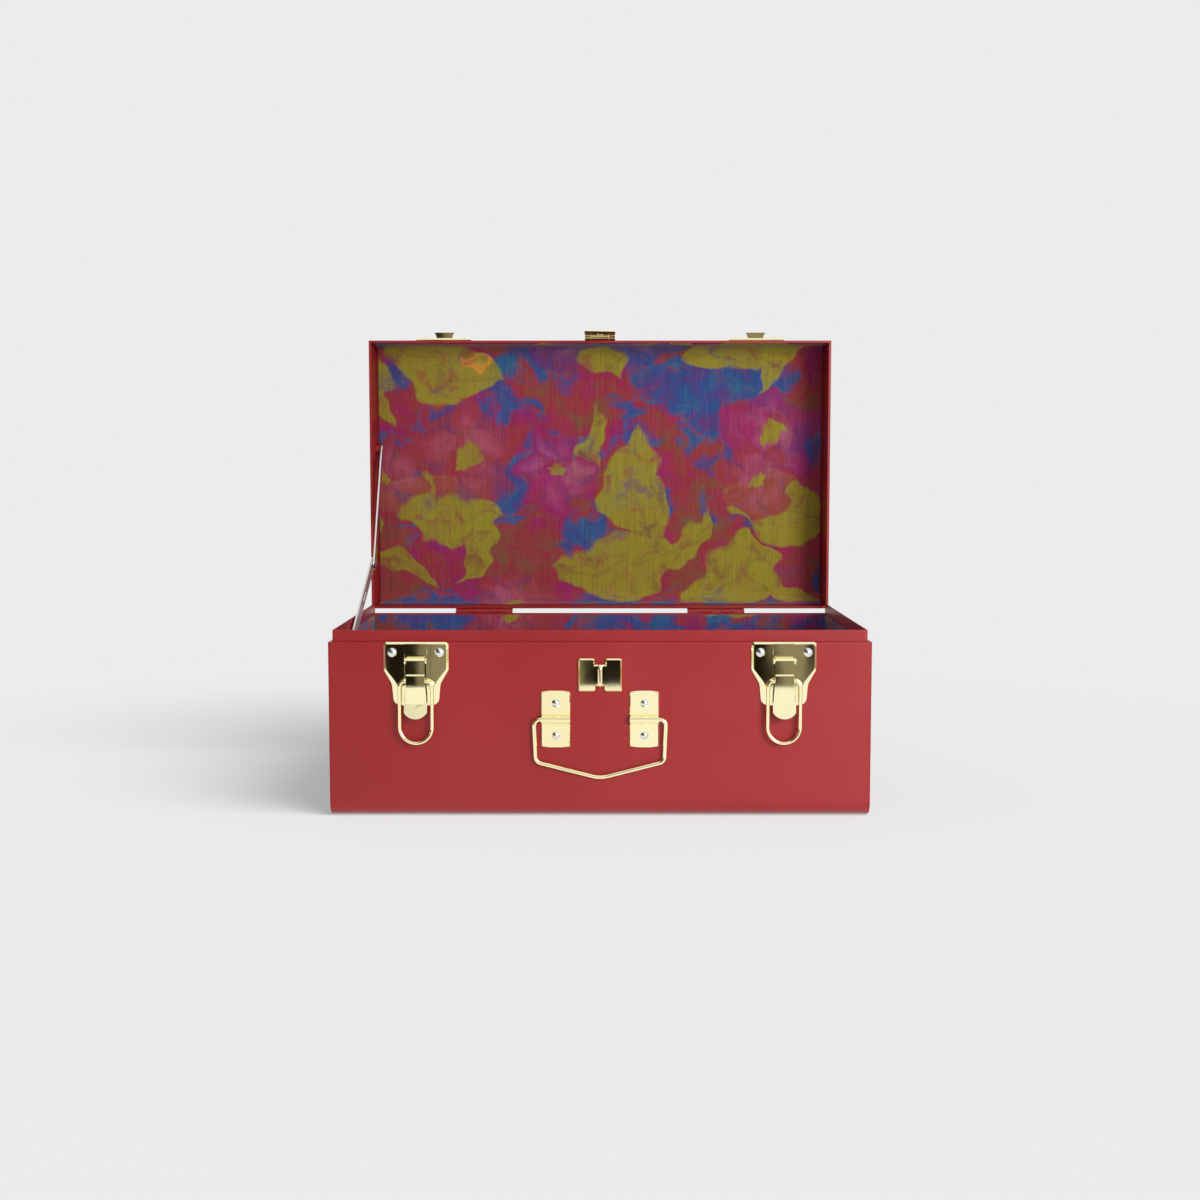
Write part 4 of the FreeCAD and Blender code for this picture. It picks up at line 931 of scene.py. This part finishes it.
@dataclass
class Studio:
    """The pale floor, the soft light, what the polished metal mirrors, and the camera."""

    ground: float = 0.838
    mirrored: float = 0.97
    room: float = 0.95
    floor_albedo: float = 0.20
    floor_glow: float = 0.34
    near: float = 0.50
    far: float = 0.90
    floor_width: float = 8.0
    floor_front: float = -0.85
    floor_back: float = 6.0
    sky: float = 0.62
    curtain_sides: tuple[float, float] = (-3.0, 0.62)
    curtain_heights: tuple[float, float] = (-1.4, 0.60)
    curtain_front: float = -2.1
    curtain_folds: float = 12.0
    room_folds: float = 9.0
    fold_stretch: tuple[float, float, float] = (1.0, 1.0, 0.12)
    # Dark and pale fold colours that the curtain and the room's dim side glow with, seen only in
    # gloss: painted reflections.
    reflected_fold_dark: Colour = (0.012, 0.008, 0.005)
    reflected_fold_pale: Colour = (0.27, 0.24, 0.18)
    dim_way: tuple[float, float, float] = (-0.820, -0.500, 0.280)
    dim_starts: float = 0.63
    dim_full: float = 0.76
    shadow_lamp: float = 8.4
    shadow_spread: float = 46.0
    shadow_from: tuple[float, float, float] = (0.80, -0.62, 0.96)
    key_power: float = 16.0
    key_size: float = 0.7
    key_from: tuple[float, float, float] = (0.88, -1.22, 0.50)
    key_towards: tuple[float, float, float] = (0.05, -0.05, 0.14)
    sensor: float = 36.0
    lens: float = 49.617
    sight: float = 50.0
    eye: tuple[float, float, float] = (0.0, -1.3448, 0.2666)
    tilt: float = 85.19

    def sheet(
        self, title: str, corners: list[tuple[float, float, float]]
    ) -> tuple[bpy.types.Object, Tree]:
        """Build a flat sheet that isn't part of the trunk.

        Args:
            title: The sheet's name.
            corners: Its corners in order.

        Returns:
            The sheet and its material's empty tree.
        """
        mesh = bpy.data.meshes.new(title)
        work = bmesh.new()
        work.faces.new([work.verts.new(corner) for corner in corners])
        work.to_mesh(mesh)
        work.free()
        sheet = bpy.data.objects.new(title, mesh)
        bpy.context.scene.collection.objects.link(sheet)
        material = bpy.data.materials.new(title)
        material.use_nodes = True
        material.node_tree.nodes.clear()
        mesh.materials.append(material)
        return sheet, Tree(material.node_tree)

    def glow(self, tree: Tree, kind: str, level: float) -> Socket:
        """Add an even grey shader to a tree.

        Args:
            tree: The tree.
            kind: The shader node's type.
            level: How pale it is.

        Returns:
            The shader's socket.
        """
        node = tree.add(kind)
        node.inputs["Color"].default_value = (level, level, level, 1.0)
        return node.outputs[0]

    def in_gloss(self, tree: Tree) -> Socket:
        """Give 1 for the rays that come from a polished or clear surface."""
        rays = tree.add("ShaderNodeLightPath").outputs
        return tree.math("MAXIMUM", rays["Is Glossy Ray"], rays["Is Transmission Ray"])

    def floor(self) -> bpy.types.Object:
        """Lay the floor: it takes the trunk's shadow and fades to the plain ground further out.

        Returns:
            The floor.
        """
        half, front, back = self.floor_width / 2, self.floor_front, self.floor_back
        corners = [(-half, front, 0.0), (half, front, 0.0), (half, back, 0.0), (-half, back, 0.0)]
        floor, tree = self.sheet("studio_floor", corners)
        added = tree.add("ShaderNodeAddShader")
        lit = self.glow(tree, "ShaderNodeBsdfDiffuse", self.floor_albedo)
        own = self.glow(tree, "ShaderNodeEmission", self.floor_glow)
        for socket, shader in zip(added.inputs, (lit, own)):
            tree.feed(socket, shader)
        plain = self.glow(tree, "ShaderNodeEmission", self.ground)
        place = tree.add("ShaderNodeTexCoord").outputs["Object"]
        reach = tree.vector("LENGTH", tree.vector("MULTIPLY", place, (1.0, 1.0, 0.0)))
        shown = tree.either(tree.step(reach, self.near, self.far), added.outputs[0], plain)
        mirrored = self.glow(tree, "ShaderNodeEmission", self.mirrored)
        tree.show(tree.either(self.in_gloss(tree), shown, mirrored))
        return floor

    def folds(self, tree: Tree, place: Socket, scale: float) -> Socket:
        """Give the colour of the studio's dim curtain, hanging in folds; it glows unlit and shows
        only in gloss, as painted reflections.

        Args:
            tree: The tree.
            place: Where the curtain is read.
            scale: How many folds there are to a unit.

        Returns:
            The colour.
        """
        hanging = tree.vector("MULTIPLY", place, self.fold_stretch)
        folds = tree.noise(hanging, scale, 4.0, 0.6)
        return tree.ramp(folds, [(0.43, self.reflected_fold_dark), (0.57, self.reflected_fold_pale)])

    def curtain(self) -> None:
        """Hang the dim curtain before the floor's front edge; it glows and shows only in gloss, so
        its folds are painted reflections on the brass and the paint.
        """
        left, right = self.curtain_sides
        low, high = self.curtain_heights
        outline = [(left, low), (right, low), (right, high), (left, high)]
        corners = [(x, self.curtain_front, z) for x, z in outline]
        curtain, tree = self.sheet("studio_curtain", corners)
        place = tree.add("ShaderNodeTexCoord").outputs["Object"]
        # The curtain glows with its fold colours instead of being lit. It is hidden from the
        # camera, from diffuse light and from shadows, so it only paints dark and pale reflections
        # into the brass and the paint.
        cloth = tree.add("ShaderNodeEmission")
        tree.feed(cloth.inputs["Color"], self.folds(tree, place, self.curtain_folds))
        tree.show(cloth.outputs[0])
        curtain.visible_camera = False
        curtain.visible_diffuse = False
        curtain.visible_shadow = False

    def world(self) -> None:
        """Light everything by an even sky; the metal shows a pale room with a dim side."""
        world = bpy.data.worlds.new("studio")
        bpy.context.scene.world = world
        world.use_nodes = True
        world.node_tree.nodes.clear()
        tree = Tree(world.node_tree)
        to_camera = tree.add("ShaderNodeLightPath").outputs["Is Camera Ray"]
        sky = self.glow(tree, "ShaderNodeBackground", self.sky)
        ground = self.glow(tree, "ShaderNodeBackground", self.ground)
        seen = tree.either(to_camera, sky, ground)
        way = tree.add("ShaderNodeTexCoord").outputs["Generated"]
        turned = tree.vector("DOT_PRODUCT", way, self.dim_way)
        dim = tree.step(turned, self.dim_starts, self.dim_full)
        pale = (self.room, self.room, self.room)
        room = tree.add("ShaderNodeBackground")
        side = self.folds(tree, way, self.room_folds)
        tree.feed(room.inputs["Color"], tree.mix(dim, pale, side))
        mixed = tree.either(self.in_gloss(tree), seen, room.outputs[0])
        tree.show(mixed, "ShaderNodeOutputWorld")

    def lamp(
        self, kind: str, title: str, energy: float, back: Vector, lit: list[bpy.types.Object]
    ) -> bpy.types.Object:
        """Add a lamp that lights some of the objects.

        Args:
            kind: The lamp's type.
            title: Its name.
            energy: Its energy.
            back: The way from what it lights back to it.
            lit: The objects that it lights.

        Returns:
            The lamp.
        """
        data = bpy.data.lights.new(title, kind)
        data.energy = energy
        lamp = bpy.data.objects.new(title, data)
        lamp.rotation_euler = back.to_track_quat("Z", "Y").to_euler()
        bpy.context.scene.collection.objects.link(lamp)
        reached = bpy.data.collections.new(f"lit_by_{title}")
        for thing in lit:
            reached.objects.link(thing)
        lamp.light_linking.receiver_collection = reached
        return lamp

    def lamps(self, floor: bpy.types.Object) -> None:
        """Set the key lamp on the trunk, and the broad lamp for the floor's soft shadow."""
        trunk = list(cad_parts.values())
        back = Vector(self.key_from) - Vector(self.key_towards)
        key = self.lamp("AREA", "key_lamp", self.key_power, back, trunk)
        key.data.shape = "DISK"
        key.data.size = self.key_size
        key.location = self.key_from
        back = Vector(self.shadow_from)
        broad = self.lamp("SUN", "broad_lamp", self.shadow_lamp, back, [floor])
        broad.data.angle = math.radians(self.shadow_spread)

    def camera(self) -> None:
        """Set the camera where the photograph was taken from."""
        data = bpy.data.cameras.new("camera")
        data.sensor_width = self.sensor
        data.lens = self.lens
        data.clip_end = self.sight
        holder = bpy.data.objects.new("camera", data)
        holder.location = self.eye
        holder.rotation_euler = (math.radians(self.tilt), 0.0, 0.0)
        bpy.context.scene.collection.objects.link(holder)
        bpy.context.scene.camera = holder

    def build(self) -> None:
        """Set up floor, curtain, lights and camera."""
        floor = self.floor()
        self.curtain()
        self.world()
        self.lamps(floor)
        self.camera()
        bpy.context.scene.view_settings.view_transform = "Standard"
        LOG.info("studio set")


def main() -> None:
    """Dress the trunk and set up the studio."""
    logging.basicConfig(level=logging.INFO, format="%(name)s %(message)s")
    paint = PaintFinish().material()
    brass = BRASS.material()
    bright = BRIGHT_STEEL.material()
    zinc = ZINC.material()
    Shell().dress(paint)
    Hinges().dress(paint)
    Lining().dress()
    Latches().dress(brass, bright)
    Handle().dress(brass, bright)
    Lock().dress(brass, bright)
    Stay().dress(zinc, bright, paint)
    Studio().build()


if __name__ == "__main__":
    main()
